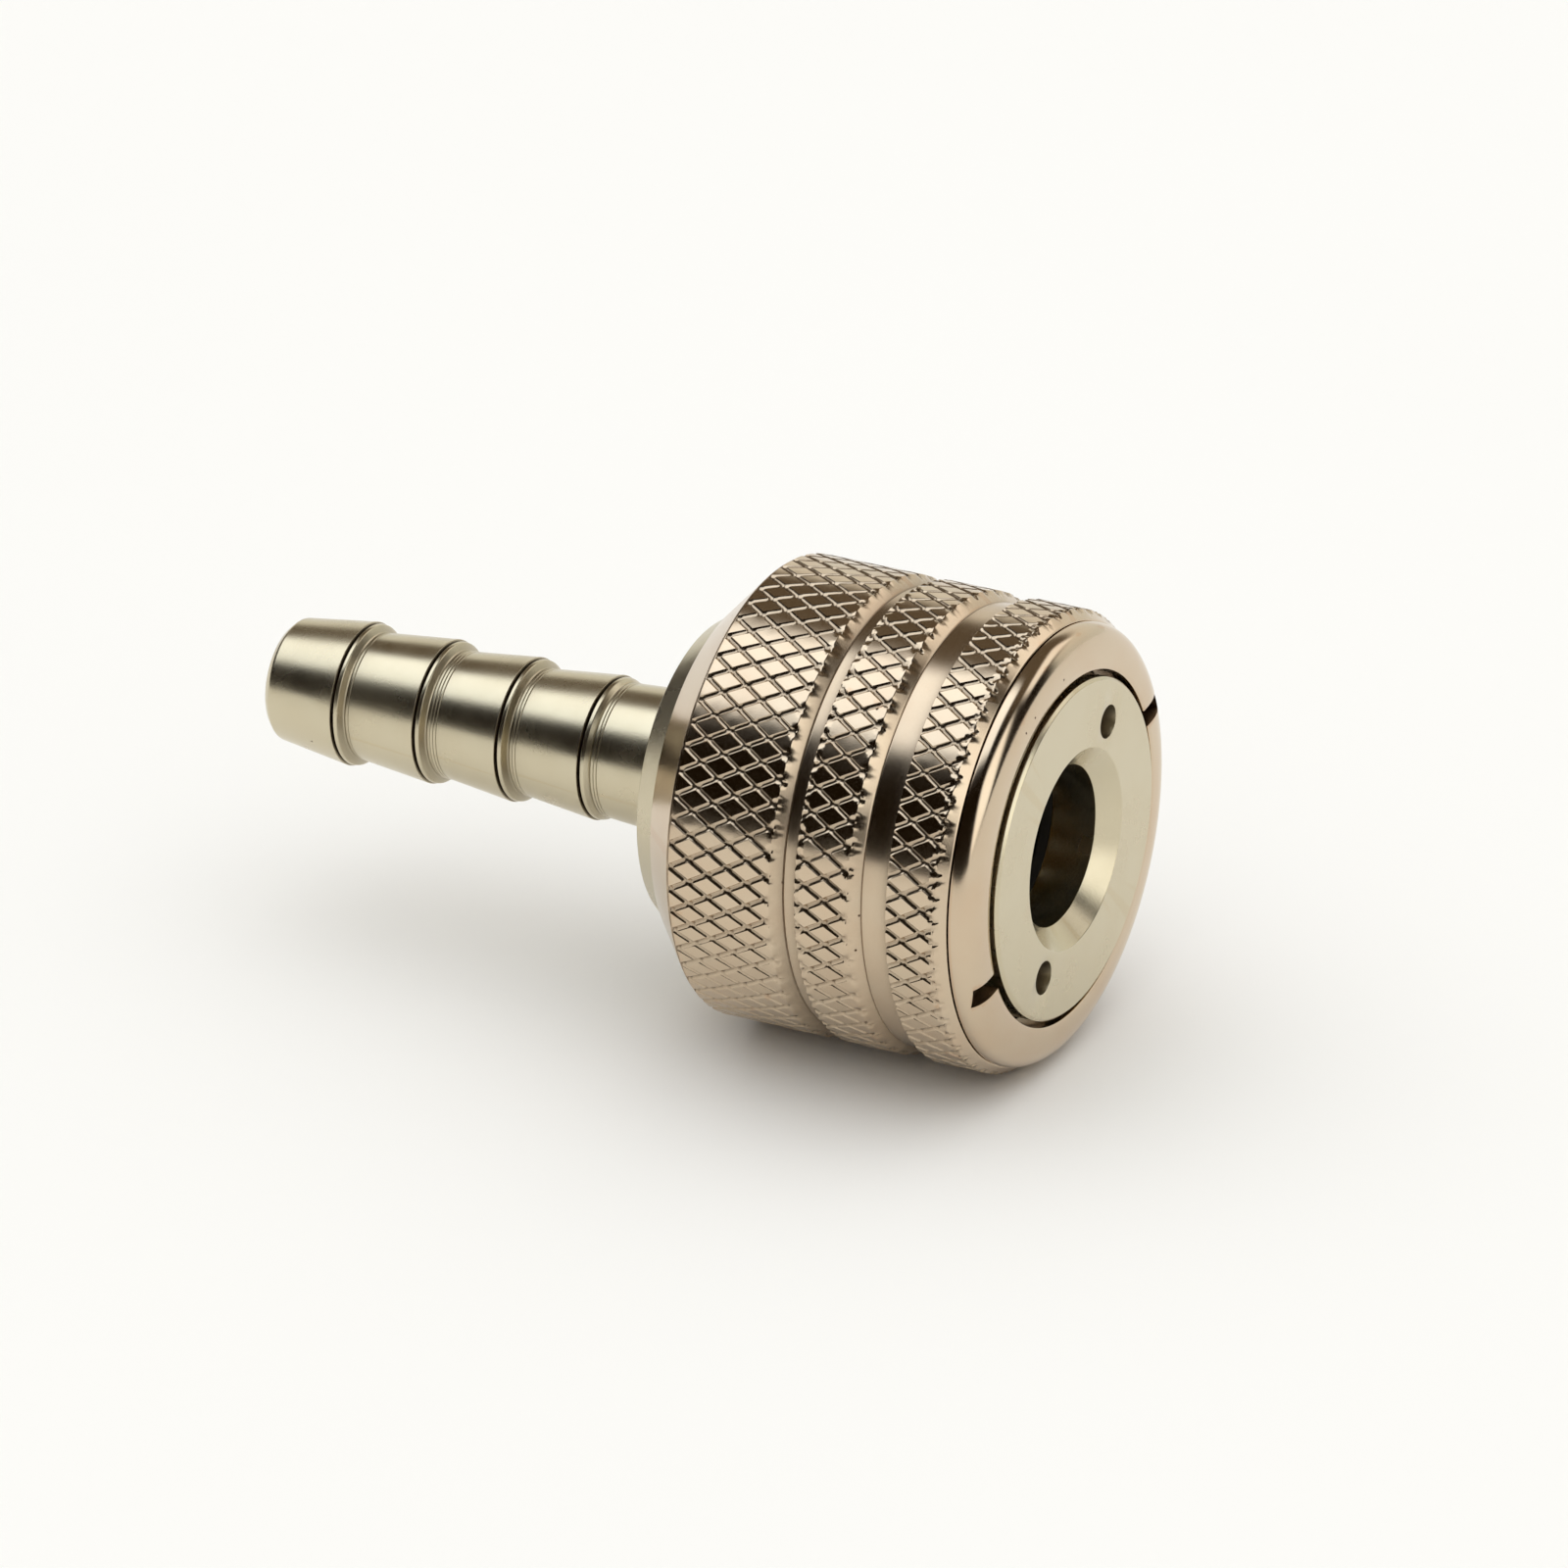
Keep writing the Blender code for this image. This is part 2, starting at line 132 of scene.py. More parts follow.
def linear(colour: str) -> tuple[float, float, float, float]:
    """Turns an sRGB hex colour into linear values.

    Args:
        colour: six hex digits after a number sign.

    Returns:
        Red, green, blue and an alpha of 1.
    """
    shares = [int(colour[start : start + 2], 16) / 255 for start in (1, 3, 5)]
    red, green, blue = (s / 12.92 if s <= 0.04045 else ((s + 0.055) / 1.055) ** 2.4 for s in shares)
    return red, green, blue, 1.0


def add(
    tree: NodeTree, kind: str, *inputs: object, named: dict | None = None, **settings: object
) -> Node:
    """Adds a node with its settings and links.

    Args:
        tree: the tree that gets the node.
        kind: the node's type name, or Math or Vector and an operation.
        inputs: for each socket in turn a value, a socket, a node whose first output is used, or None.
        named: the same for sockets by name.
        settings: the node's own properties.

    Returns:
        The new node.
    """
    family, _, operation = kind.partition(" ")
    node = tree.nodes.new(MATHS.get(family, family))
    if operation:
        node.operation = operation
    for key, value in settings.items():
        setattr(node, key, value)
    for key, value in [*enumerate(inputs), *(named or {}).items()]:
        if isinstance(value, Node):
            tree.links.new(value.outputs[0], node.inputs[key])
        elif isinstance(value, NodeSocket):
            tree.links.new(value, node.inputs[key])
        elif value is not None:
            node.inputs[key].default_value = value
    return node


class Surface:
    """A material while it is made: its tree, its shader's inputs and the place that patterns read."""

    def __init__(self, label: str, roughness: float, metallic: float) -> None:
        """Starts the material.

        Args:
            label: its name.
            roughness: how rough it is where no pattern says so.
            metallic: 1 for a metal, 0 for anything else.
        """
        self.material = bpy.data.materials.new(label)
        self.material.use_nodes = True
        self.tree = self.material.node_tree
        self.shader = self.tree.nodes["Principled BSDF"].inputs
        self.shader["Roughness"].default_value = roughness
        self.shader["Metallic"].default_value = metallic
        self.place = add(self.tree, "ShaderNodeTexCoord").outputs["Object"]

    def relief(self, height: Node) -> None:
        """Raises the surface by a height in millimetres."""
        bump = add(self.tree, "ShaderNodeBump", named={"Height": height, "Distance": MM, "Strength": 1.0})
        self.tree.links.new(bump.outputs["Normal"], self.shader["Normal"])

    def tone(self, share: Node, first: Paint, second: Paint) -> NodeSocket:
        """Colours the surface.

        Args:
            share: how much of the second colour shows.
            first: a hex colour, or what an earlier call returned.
            second: the same.

        Returns:
            The mixed colour, so that a further call can go over it.
        """
        ends = [linear(end) if isinstance(end, str) else end for end in (first, second)]
        named = {"Factor": share, "A": ends[0], "B": ends[1]}
        mixed = add(self.tree, "ShaderNodeMix", named=named, data_type="RGBA").outputs["Result"]
        self.tree.links.new(mixed, self.shader["Base Color"])
        return mixed

    def sheen(
        self,
        pattern: Node,
        low: float,
        high: float,
        dirt_and_shade: Node | None = None,
        dirt_and_shade_roughness: float = 0.0,
    ) -> None:
        """Varies how rough the surface is.

        Args:
            pattern: what it follows, mostly between 0.3 and 0.7.
            low: the roughness at 0.3.
            high: the roughness at 0.7.
            dirt_and_shade: where grime lies and shade is painted, if anywhere.
            dirt_and_shade_roughness: how much rougher those places are.
        """
        rough = add(self.tree, MAP_RANGE, pattern, 0.3, 0.7, low, high)
        if dirt_and_shade:
            rough = add(self.tree, "Math MULTIPLY_ADD", dirt_and_shade, dirt_and_shade_roughness, rough)
        self.tree.links.new(rough.outputs[0], self.shader["Roughness"])


# ---- finishes


@dataclass(frozen=True)
class NickelPlate:
    """Bright nickel, electroplated on turned brass.

    The plate follows the tool's fine rings, so a highlight is a soft mirror that is drawn out along the
    axis, with a fine grain. Where the plate is thin, on edges, the brass warms it. Handling leaves a few
    pits. Tumbling only polishes what it reaches, so cuts, holes and gaps stay dull. They and the pits are
    painted dark brown: partly grime, and partly painted shade that deepens the more enclosed a recess is.
    """

    label: str
    colour: str
    thin: str
    roughness: float
    ring_spacing: float = 0.14
    ring_height: float = 0.0009
    grain_size: float = 0.09
    grain_height: float = 0.0012
    pit_spacing: float = 1.3
    pit_share: float = 0.2
    pit_depth: float = 0.02
    cloud_size: float = 5.0
    # Painted shade with grime: the dark brown painted into cuts, holes, gaps and pits, and how far the
    # occlusion test reaches.
    dirt_and_shade: str = "#402B19"
    dirt_and_shade_roughness: float = 0.30
    dirt_and_shade_reach: float = 2.0

    def material(self) -> Material:
        """Builds the material.

        Returns:
            The material.
        """
        surface = Surface(self.label, self.roughness, 1.0)
        tree, place = surface.tree, surface.place
        along = add(tree, "ShaderNodeSeparateXYZ", place).outputs["X"]
        across = add(tree, "Vector MULTIPLY", place, (0.0, 1.0, 1.0))
        radius = add(tree, "Vector LENGTH", across).outputs["Value"]
        profile = add(tree, "ShaderNodeCombineXYZ", along, radius)
        # The real rings are a few hundredths of a millimetre apart: these are as coarse as the eye needs.
        rings, grain, clouds = (
            add(tree, NOISE, at, None, 1 / (size * MM), detail, gain)
            for at, size, detail, gain in (
                (profile, self.ring_spacing, 3.0, 0.5),
                (place, self.grain_size, 2.0, 0.5),
                (place, self.cloud_size, 4.0, 0.6),
            )
        )
        named = {"Vector": place, "Scale": 1 / (self.pit_spacing * MM)}
        cells = add(tree, "ShaderNodeTexVoronoi", named=named).outputs
        near = add(tree, MAP_RANGE, cells["Distance"], 0.04, 0.09, 1.0, 0.0)
        chosen = add(tree, "Math GREATER_THAN", cells["Color"], 1 - self.pit_share)
        pits = add(tree, "Math MULTIPLY", near, chosen)
        height = add(tree, "Math MULTIPLY", rings, self.ring_height)
        height = add(tree, "Math MULTIPLY_ADD", grain, self.grain_height, height)
        surface.relief(add(tree, "Math MULTIPLY_ADD", pits, -self.pit_depth, height))

        edge = add(tree, "ShaderNodeNewGeometry").outputs["Pointiness"]
        worn = add(tree, MAP_RANGE, edge, 0.52, 0.60, 0.0, 0.35)
        patchy = add(tree, MAP_RANGE, clouds, 0.4, 0.8, 0.0, 0.25)
        thin = add(tree, "Math MAXIMUM", worn, patchy)
        # Painted shade with grime: the more ambient occlusion finds a recess enclosed, the more it is
        # painted dark brown. Pits get the same brown.
        named = {"Distance": self.dirt_and_shade_reach * MM}
        open_sky = add(tree, "ShaderNodeAmbientOcclusion", named=named, samples=6, only_local=True)
        recess = add(tree, MAP_RANGE, open_sky.outputs["AO"], 0.32, 0.96, 1.0, 0.0)
        dirt_and_shade = add(tree, "Math MAXIMUM", recess, pits)
        surface.tone(dirt_and_shade, surface.tone(thin, self.colour, self.thin), self.dirt_and_shade)
        surface.sheen(clouds, self.roughness * 0.85, self.roughness * 1.2, dirt_and_shade, self.dirt_and_shade_roughness)
        return surface.material


@dataclass(frozen=True)
class PlainMetal:
    """Bare machined metal, with faint tool marks all over and an oily film that dulls it in patches."""

    label: str
    colour: str
    dull: str
    roughness: float
    mark_spacing: float = 0.2
    mark_height: float = 0.002
    film_size: float = 4.0

    def material(self) -> Material:
        """Builds the material.

        Returns:
            The material.
        """
        surface = Surface(self.label, self.roughness, 1.0)
        tree, place = surface.tree, surface.place
        stretched = add(tree, "Vector MULTIPLY", place, (1.0, 0.15, 0.15))
        marks, film = (
            add(tree, NOISE, named={"Vector": at, "Scale": 1 / (size * MM), "Detail": 3.0})
            for at, size in ((stretched, self.mark_spacing), (place, self.film_size))
        )
        surface.relief(add(tree, "Math MULTIPLY", marks, self.mark_height))
        surface.tone(add(tree, MAP_RANGE, film, 0.35, 0.7, 0.0, 1.0), self.colour, self.dull)
        surface.sheen(film, self.roughness * 0.8, self.roughness * 1.5)
        return surface.material


@dataclass(frozen=True)
class SoftPart:
    """Rubber or PTFE: matt and faintly mottled, with the fine texture of its mould or knife."""

    label: str
    colour: str
    mottle: str
    roughness: float
    texture_size: float
    texture_height: float
    ior: float

    def material(self) -> Material:
        """Builds the material.

        Returns:
            The material.
        """
        surface = Surface(self.label, self.roughness, 0.0)
        surface.shader["IOR"].default_value = self.ior
        named = {"Vector": surface.place, "Scale": 1 / (self.texture_size * MM), "Detail": 3.0}
        texture = add(surface.tree, NOISE, named=named)
        surface.relief(add(surface.tree, "Math MULTIPLY", texture, self.texture_height))
        surface.tone(texture, self.colour, self.mottle)
        surface.sheen(texture, self.roughness * 0.9, self.roughness * 1.1)
        return surface.material


@dataclass
class Finishes:
    """Every finish on the socket, by the slot that it belongs to."""

    made: dict[Slot, Material] = field(default_factory=dict)

    def __post_init__(self) -> None:
        """Makes each material once."""
        kinds = {
            # Nickel on a turned and tumbled tail: pale, faintly green, with wide soft highlights.
            Slot.NICKEL_TAIL: NickelPlate(
                "Satin nickel on turned brass",
                "#CDC3A9",
                "#C4B28E",
                0.25,
                grain_size=0.16,
                grain_height=0.0030,
            ),
            # Nickel on a polished and knurled sleeve: warmer, and nearer to a mirror.
            Slot.NICKEL_SLEEVE: NickelPlate("Bright nickel on knurled brass", "#CFBDA4", "#C49C78", 0.15),
            # Brass as it leaves the lathe: yellow, with its shine broken by an oily film.
            Slot.PLAIN_BRASS: PlainMetal("Turned brass, bare", "#C6A765", "#A88A4E", 0.22),
            # Hardened and ground steel: cool grey, and the sharpest reflections inside.
            Slot.BRIGHT_STEEL: PlainMetal("Hardened steel, ground", "#B9B7B2", "#A09D97", 0.12),
            # Moulded nitrile rubber: black, with no more than a broad dull sheen.
            Slot.SEAL_RUBBER: SoftPart(
                "Nitrile rubber, moulded", "#1A1917", "#262420", 0.5, 0.2, 0.004, 1.5
            ),
            # PTFE sliced from rod, painted charcoal as shade in the bore: waxy, with a low shine from its
            # low IOR.
            Slot.PTFE: SoftPart(
                "PTFE painted charcoal as shade, skived", "#2C2B29", "#24231F", 0.4, 0.3, 0.003, 1.38
            ),
        }
        for slot, finish in kinds.items():
            self.made[slot] = finish.material()


# ---- outlines and turned meshes


@dataclass(frozen=True)
class Envelope:
    """Where a CAD node sits, in millimetres along the axis and away from it."""

    start: float
    end: float
    radius: float

    @classmethod
    def of(cls, node: str) -> Envelope:
        """Reads a node's envelope from the frame."""
        low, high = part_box(node)
        return cls(low.x / MM, high.x / MM, high.z / MM)


@dataclass
class Outline:
    """A closed outline of corners, each an x, a radius and how far it is rounded, in millimetres."""

    corners: list[Corner] = field(default_factory=list)
    arc_step: float = 24.0
    support: float = 0.05

    def to(self, x: float, radius: float, rounding: float = 0.0) -> Outline:
        """Adds a corner and returns the outline."""
        self.corners.append((x, radius, rounding))
        return self

    def traced(self) -> list[tuple[float, float]]:
        """Follows the outline, with arcs at rounded corners and a support point beside each arc.

        Returns:
            x and radius of every point.
        """
        points = []
        count = len(self.corners)
        for index, (x, radius, rounding) in enumerate(self.corners):
            corner = Vector((x, radius))
            before = Vector(self.corners[index - 1][:2]) - corner
            after = Vector(self.corners[(index + 1) % count][:2]) - corner
            if rounding <= 0:
                points.append((x, radius))
                continue
            opening = before.angle(after)
            reach = min(rounding / math.tan(opening / 2), 0.45 * before.length, 0.45 * after.length)
            rounding = reach * math.tan(opening / 2)
            inward = (before.normalized() + after.normalized()).normalized()
            centre = corner + inward * rounding / math.sin(opening / 2)
            first = corner + before.normalized() * reach - centre
            last = corner + after.normalized() * reach - centre
            turn = first.angle_signed(last)
            steps = max(2, math.ceil(math.degrees(abs(turn)) / self.arc_step))
            if before.length > 3 * (reach + self.support):
                points.append(tuple(corner + before.normalized() * (reach + self.support)))
            for step in range(steps + 1):
                points.append(tuple(centre + Matrix.Rotation(-turn * step / steps, 2) @ first))
            if after.length > 3 * (reach + self.support):
                points.append(tuple(corner + after.normalized() * (reach + self.support)))
        return points


@dataclass(frozen=True)
class Ring:
    """One ring of points. A half ring is turned by half the space between its points."""

    x: float
    radius: float
    half: bool = False


def object_from(bm: BMesh, name: str) -> Object:
    """Turns a bmesh into a smooth-shaded object at the origin, whose faces point outwards.

    Args:
        bm: the faces, which are freed.
        name: the object's name.

    Returns:
        The object.
    """
    bmesh.ops.recalc_face_normals(bm, faces=bm.faces)
    mesh = bpy.data.meshes.new(name)
    bm.to_mesh(mesh)
    bm.free()
    mesh.shade_smooth()
    mesh.set_sharp_from_angle(angle=SHARP)
    piece = bpy.data.objects.new(name, mesh)
    bpy.context.scene.collection.objects.link(piece)
    return piece


def strip_faces(first: Sequence[int], second: Sequence[int], shift: int) -> Iterable[tuple[int, ...]]:
    """Faces between two rings of points.

    Args:
        first: point numbers of one ring, or one number for a point on the axis.
        second: the same for the next ring.
        shift: how many half spaces the second ring is turned past the first: -1, 0 or 1.

    Yields:
        Point numbers of each face.
    """
    count = max(len(first), len(second))
    for index in range(count):
        here, after = index, (index + 1) % count
        if len(first) == 1:
            yield first[0], second[here], second[after]
        elif len(second) == 1:
            yield first[after], first[here], second[0]
        elif shift == 0:
            yield first[after], first[here], second[here], second[after]
        elif shift > 0:
            yield first[after], first[here], second[here]
            yield first[after], second[here], second[after]
        else:
            yield first[here], second[here], second[after]
            yield first[after], first[here], second[after]


def ringed(name: str, rings: Sequence[Ring], around: int, first_angle: float = 0.0) -> Object:
    """Makes a closed turned mesh from its rings.

    Args:
        name: the object's name.
        rings: the rings in order round the outline, in millimetres.
        around: points in each ring.
        first_angle: where a ring starts, in radians from +Y towards +Z.

    Returns:
        The object.
    """
    points: list[Corner] = []
    numbers: list[list[int]] = []
    for ring in rings:
        start = len(points)
        if ring.radius < 1e-6:
            points.append((ring.x * MM, 0.0, 0.0))
            numbers.append([start])
            continue
        angles = first_angle + math.tau / around * (np.arange(around) + 0.5 * ring.half)
        reach = ring.radius * MM
        points += zip([ring.x * MM] * around, reach * np.cos(angles), reach * np.sin(angles))
        numbers.append(list(range(start, start + around)))
    faces: list[tuple[int, ...]] = []
    for index in range(len(rings)):
        following = (index + 1) % len(rings)
        if len(numbers[index]) == 1 and len(numbers[following]) == 1:
            continue
        shift = int(rings[following].half) - int(rings[index].half)
        faces += strip_faces(numbers[index], numbers[following], shift)
    mesh = bpy.data.meshes.new(name)
    mesh.from_pydata(points, [], faces)
    bm = bmesh.new()
    bm.from_mesh(mesh)
    bpy.data.meshes.remove(mesh)
    return object_from(bm, name)


def turned(name: str, outline: Outline, around: int = 192) -> Object:
    """Spins an outline about the X axis."""
    return ringed(name, [Ring(x, radius) for x, radius in outline.traced()], around)


def washer(start: float, end: float, inner: float, outer: float, rounding: float) -> Outline:
    """The outline of a flat ring with rounded edges, in millimetres."""
    corners = ((start, inner), (start, outer), (end, outer), (end, inner))
    return Outline([(x, radius, rounding) for x, radius in corners])


def o_ring(x: float, centre_radius: float, section: float, sides: int = 28) -> Outline:
    """The outline of a round-section ring, in millimetres.

    Args:
        x: where its middle is.
        centre_radius: radius of the ring's centreline.
        section: radius of the section.
        sides: how many sides the section has.

    Returns:
        The outline.
    """
    outline = Outline()
    for side in range(sides):
        angle = math.tau * side / sides
        outline.to(x - section * math.cos(angle), centre_radius + section * math.sin(angle))
    return outline


def radial(angle: float, radius: float = 1.0, x: float = 0.0) -> Vector:
    """A point in millimetres at an angle from +Y towards +Z."""
    return Vector((x, radius * math.cos(angle), radius * math.sin(angle)))


def post(
    bm: BMesh, base: Vector, direction: Vector, length: float, radius: float, flare: float = 0.0
) -> None:
    """Adds a closed round post for cutting a hole, in millimetres.

    Args:
        bm: the cutter.
        base: where the post starts.
        direction: where it points.
        length: how long it is.
        radius: its radius at the base.
        flare: how much wider it is at the other end.
    """
    along = direction.normalized()
    turn = Vector((0, 0, 1)).rotation_difference(along).to_matrix().to_4x4()
    bmesh.ops.create_cone(
        bm,
        cap_ends=True,
        segments=48,
        radius1=radius * MM,
        radius2=(radius + flare) * MM,
        depth=length * MM,
        matrix=Matrix.Translation((base + along * length / 2) * MM) @ turn,
    )


def plain_mesh(piece: Object) -> None:
    """Replaces a piece's mesh by what its modifiers make of it, and removes them.

    Args:
        piece: the piece.
    """
    evaluated = piece.evaluated_get(bpy.context.evaluated_depsgraph_get())
    mesh = bpy.data.meshes.new_from_object(evaluated)
    piece.modifiers.clear()
    piece.data = mesh


def carve(piece: Object, bm: BMesh, edge: float = 0.0) -> None:
    """Cuts closed shapes out of a piece and breaks the new edges.

    Args:
        piece: what is cut.
        bm: the shapes that are cut out.
        edge: width of the broken edge in millimetres, or 0 for none.
    """
    cutter = object_from(bm, f"{piece.name}_cutter")
    boolean = piece.modifiers.new("cut", "BOOLEAN")
    boolean.operation = "DIFFERENCE"
    boolean.object = cutter
    if edge:
        bevel = piece.modifiers.new("broken edges", "BEVEL")
        bevel.width = edge * MM
        bevel.segments = 2
        bevel.limit_method = "ANGLE"
        bevel.angle_limit = math.radians(50)
    plain_mesh(piece)
    bpy.data.objects.remove(cutter)
    piece.data.shade_smooth()
    piece.data.set_sharp_from_angle(angle=SHARP)


# ---- sub-assemblies


@dataclass
class SubAssembly:
    """What every sub-assembly shares: its finishes, and how a piece joins the frame."""

    finishes: Finishes

    def fit(self, piece: Object, body: Body, slot: Slot, node: str) -> None:
        """Dresses a piece, lets it ride on its body and puts it in its CAD node's place.

        Args:
            piece: the finished mesh.
            body: what it moves with.
            slot: its finish.
            node: the CAD node that it stands for.
        """
        piece.data.materials.clear()
        piece.data.materials.append(self.finishes.made[slot])
        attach(piece, body.value)
        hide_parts(node)
        LOG.info("%s: %d faces, rides on %s", piece.name, len(piece.data.polygons), body.value)


@dataclass
class HoseTail(SubAssembly):
    """Barbed tail, hub and spigot, turned in one piece from brass bar and plated."""

    bore: float = 2.5
    bore_chamfer: float = 0.35
    tip_radius: float = 4.05
    tip_chamfer: float = 0.45
    barbs: int = 4
    pitch: float = 6.0
    first_crest: float = -25.0
    crest_radius: float = 4.75
    root_radius: float = 4.2
    shank_root_radius: float = 4.42
    shank_end_radius: float = 4.85
    hub_rear_radius: float = 9.9
    hub_cone: float = 1.95
    hub_front: float = 3.2
    spigot_radius: float = 6.9
    gasket_bore: float = 7.0
    turning_lines: tuple[int, ...] = (1, 3, 2, 2)
    line_spacing: float = 0.22

    def barb(self, outline: Outline, crest: float, root: float, lines: int) -> None:
        """Adds one crest with the fine step behind it, its rounded bead and the tool's lines.

        Args:
            outline: the tail's outline.
            crest: x of the crest.
            root: radius that the bead runs down to.
            lines: how many tool lines follow.
        """
        top = self.crest_radius
        for past, radius, rounding in (
            (-0.1, top, 0.04),
            (-0.02, top - 0.3, 0),
            (0.06, top - 0.3, 0),
            (0.1, top - 0.08, 0.06),
            (0.34, top - 0.12, 0.12),
            (0.6, root + 0.02, 0.15),
            (0.68, root - 0.05, 0),
            (0.76, root, 0.05),
        ):
            outline.to(crest + past, radius, rounding)
        for line in range(lines):
            x = crest + 0.95 + self.line_spacing * line
            outline.to(x - 0.05, root + 0.01).to(x, root - 0.025).to(x + 0.05, root + 0.015)

    def build(self) -> None:
        """Makes the tail."""
        reach = Envelope.of("hose_tail")
        tip = reach.start
        outline = Outline().to(tip, self.bore + self.bore_chamfer, 0.05)
        outline.to(tip, self.tip_radius - self.tip_chamfer, 0.15)
        outline.to(tip + self.tip_chamfer, self.tip_radius, 0.3)
        for barb in range(self.barbs):
            last = barb == self.barbs - 1
            root = self.shank_root_radius if last else self.root_radius
            self.barb(outline, self.first_crest + barb * self.pitch, root, self.turning_lines[barb])
        outline.to(0, self.shank_end_radius, 0.15).to(0, self.hub_rear_radius, 0.12)
        outline.to(self.hub_cone, reach.radius, 0.08).to(self.hub_front, reach.radius, 0.1)
        outline.to(self.hub_front, self.spigot_radius).to(reach.end, self.spigot_radius, 0.3)
        outline.to(reach.end, self.bore, 0.2).to(tip + self.bore_chamfer, self.bore)
        self.fit(turned("hose_tail_barbed", outline, 256), Body.HOUSING, Slot.NICKEL_TAIL, "hose_tail")
        gasket = Envelope.of("tail_gasket")
        flat = washer(gasket.start, gasket.end, self.gasket_bore, gasket.radius, 0.08)
        self.fit(turned("tail_gasket_cut", flat), Body.HOUSING, Slot.PTFE, "tail_gasket")


def apply_tree(
    piece: Object,
    label: str,
    values: dict[str, float | int | Material],
    shape: Callable[[NodeTree, Sockets], Node],
) -> None:
    """Builds a geometry tree, runs it on a piece and keeps the plain mesh.

    Args:
        piece: what the tree works on.
        label: the tree's name.
        values: the tree's inputs by name, of which Finish is the material.
        shape: adds the nodes, given the tree and its inputs, and returns the last one.
    """
    tree = bpy.data.node_groups.new(label, "GeometryNodeTree")
    tree.interface.new_socket("Geometry", in_out="INPUT", socket_type="NodeSocketGeometry")
    identifiers = {}
    for name, value in values.items():
        kind = {float: "Float", int: "Int"}.get(type(value), "Material")
        socket = tree.interface.new_socket(name, in_out="INPUT", socket_type=f"NodeSocket{kind}")
        identifiers[name] = socket.identifier
    tree.interface.new_socket("Geometry", in_out="OUTPUT", socket_type="NodeSocketGeometry")
    given = add(tree, "NodeGroupInput").outputs
    real = add(tree, "GeometryNodeRealizeInstances", shape(tree, given))
    named = {"Geometry": real, "Material": given["Finish"]}
    add(tree, "NodeGroupOutput", add(tree, "GeometryNodeSetMaterial", named=named))
    modifier = piece.modifiers.new(label, "NODES")
    modifier.node_group = tree
    for name, value in values.items():
        modifier[identifiers[name]] = value
    piece.update_tag()
    plain_mesh(piece)


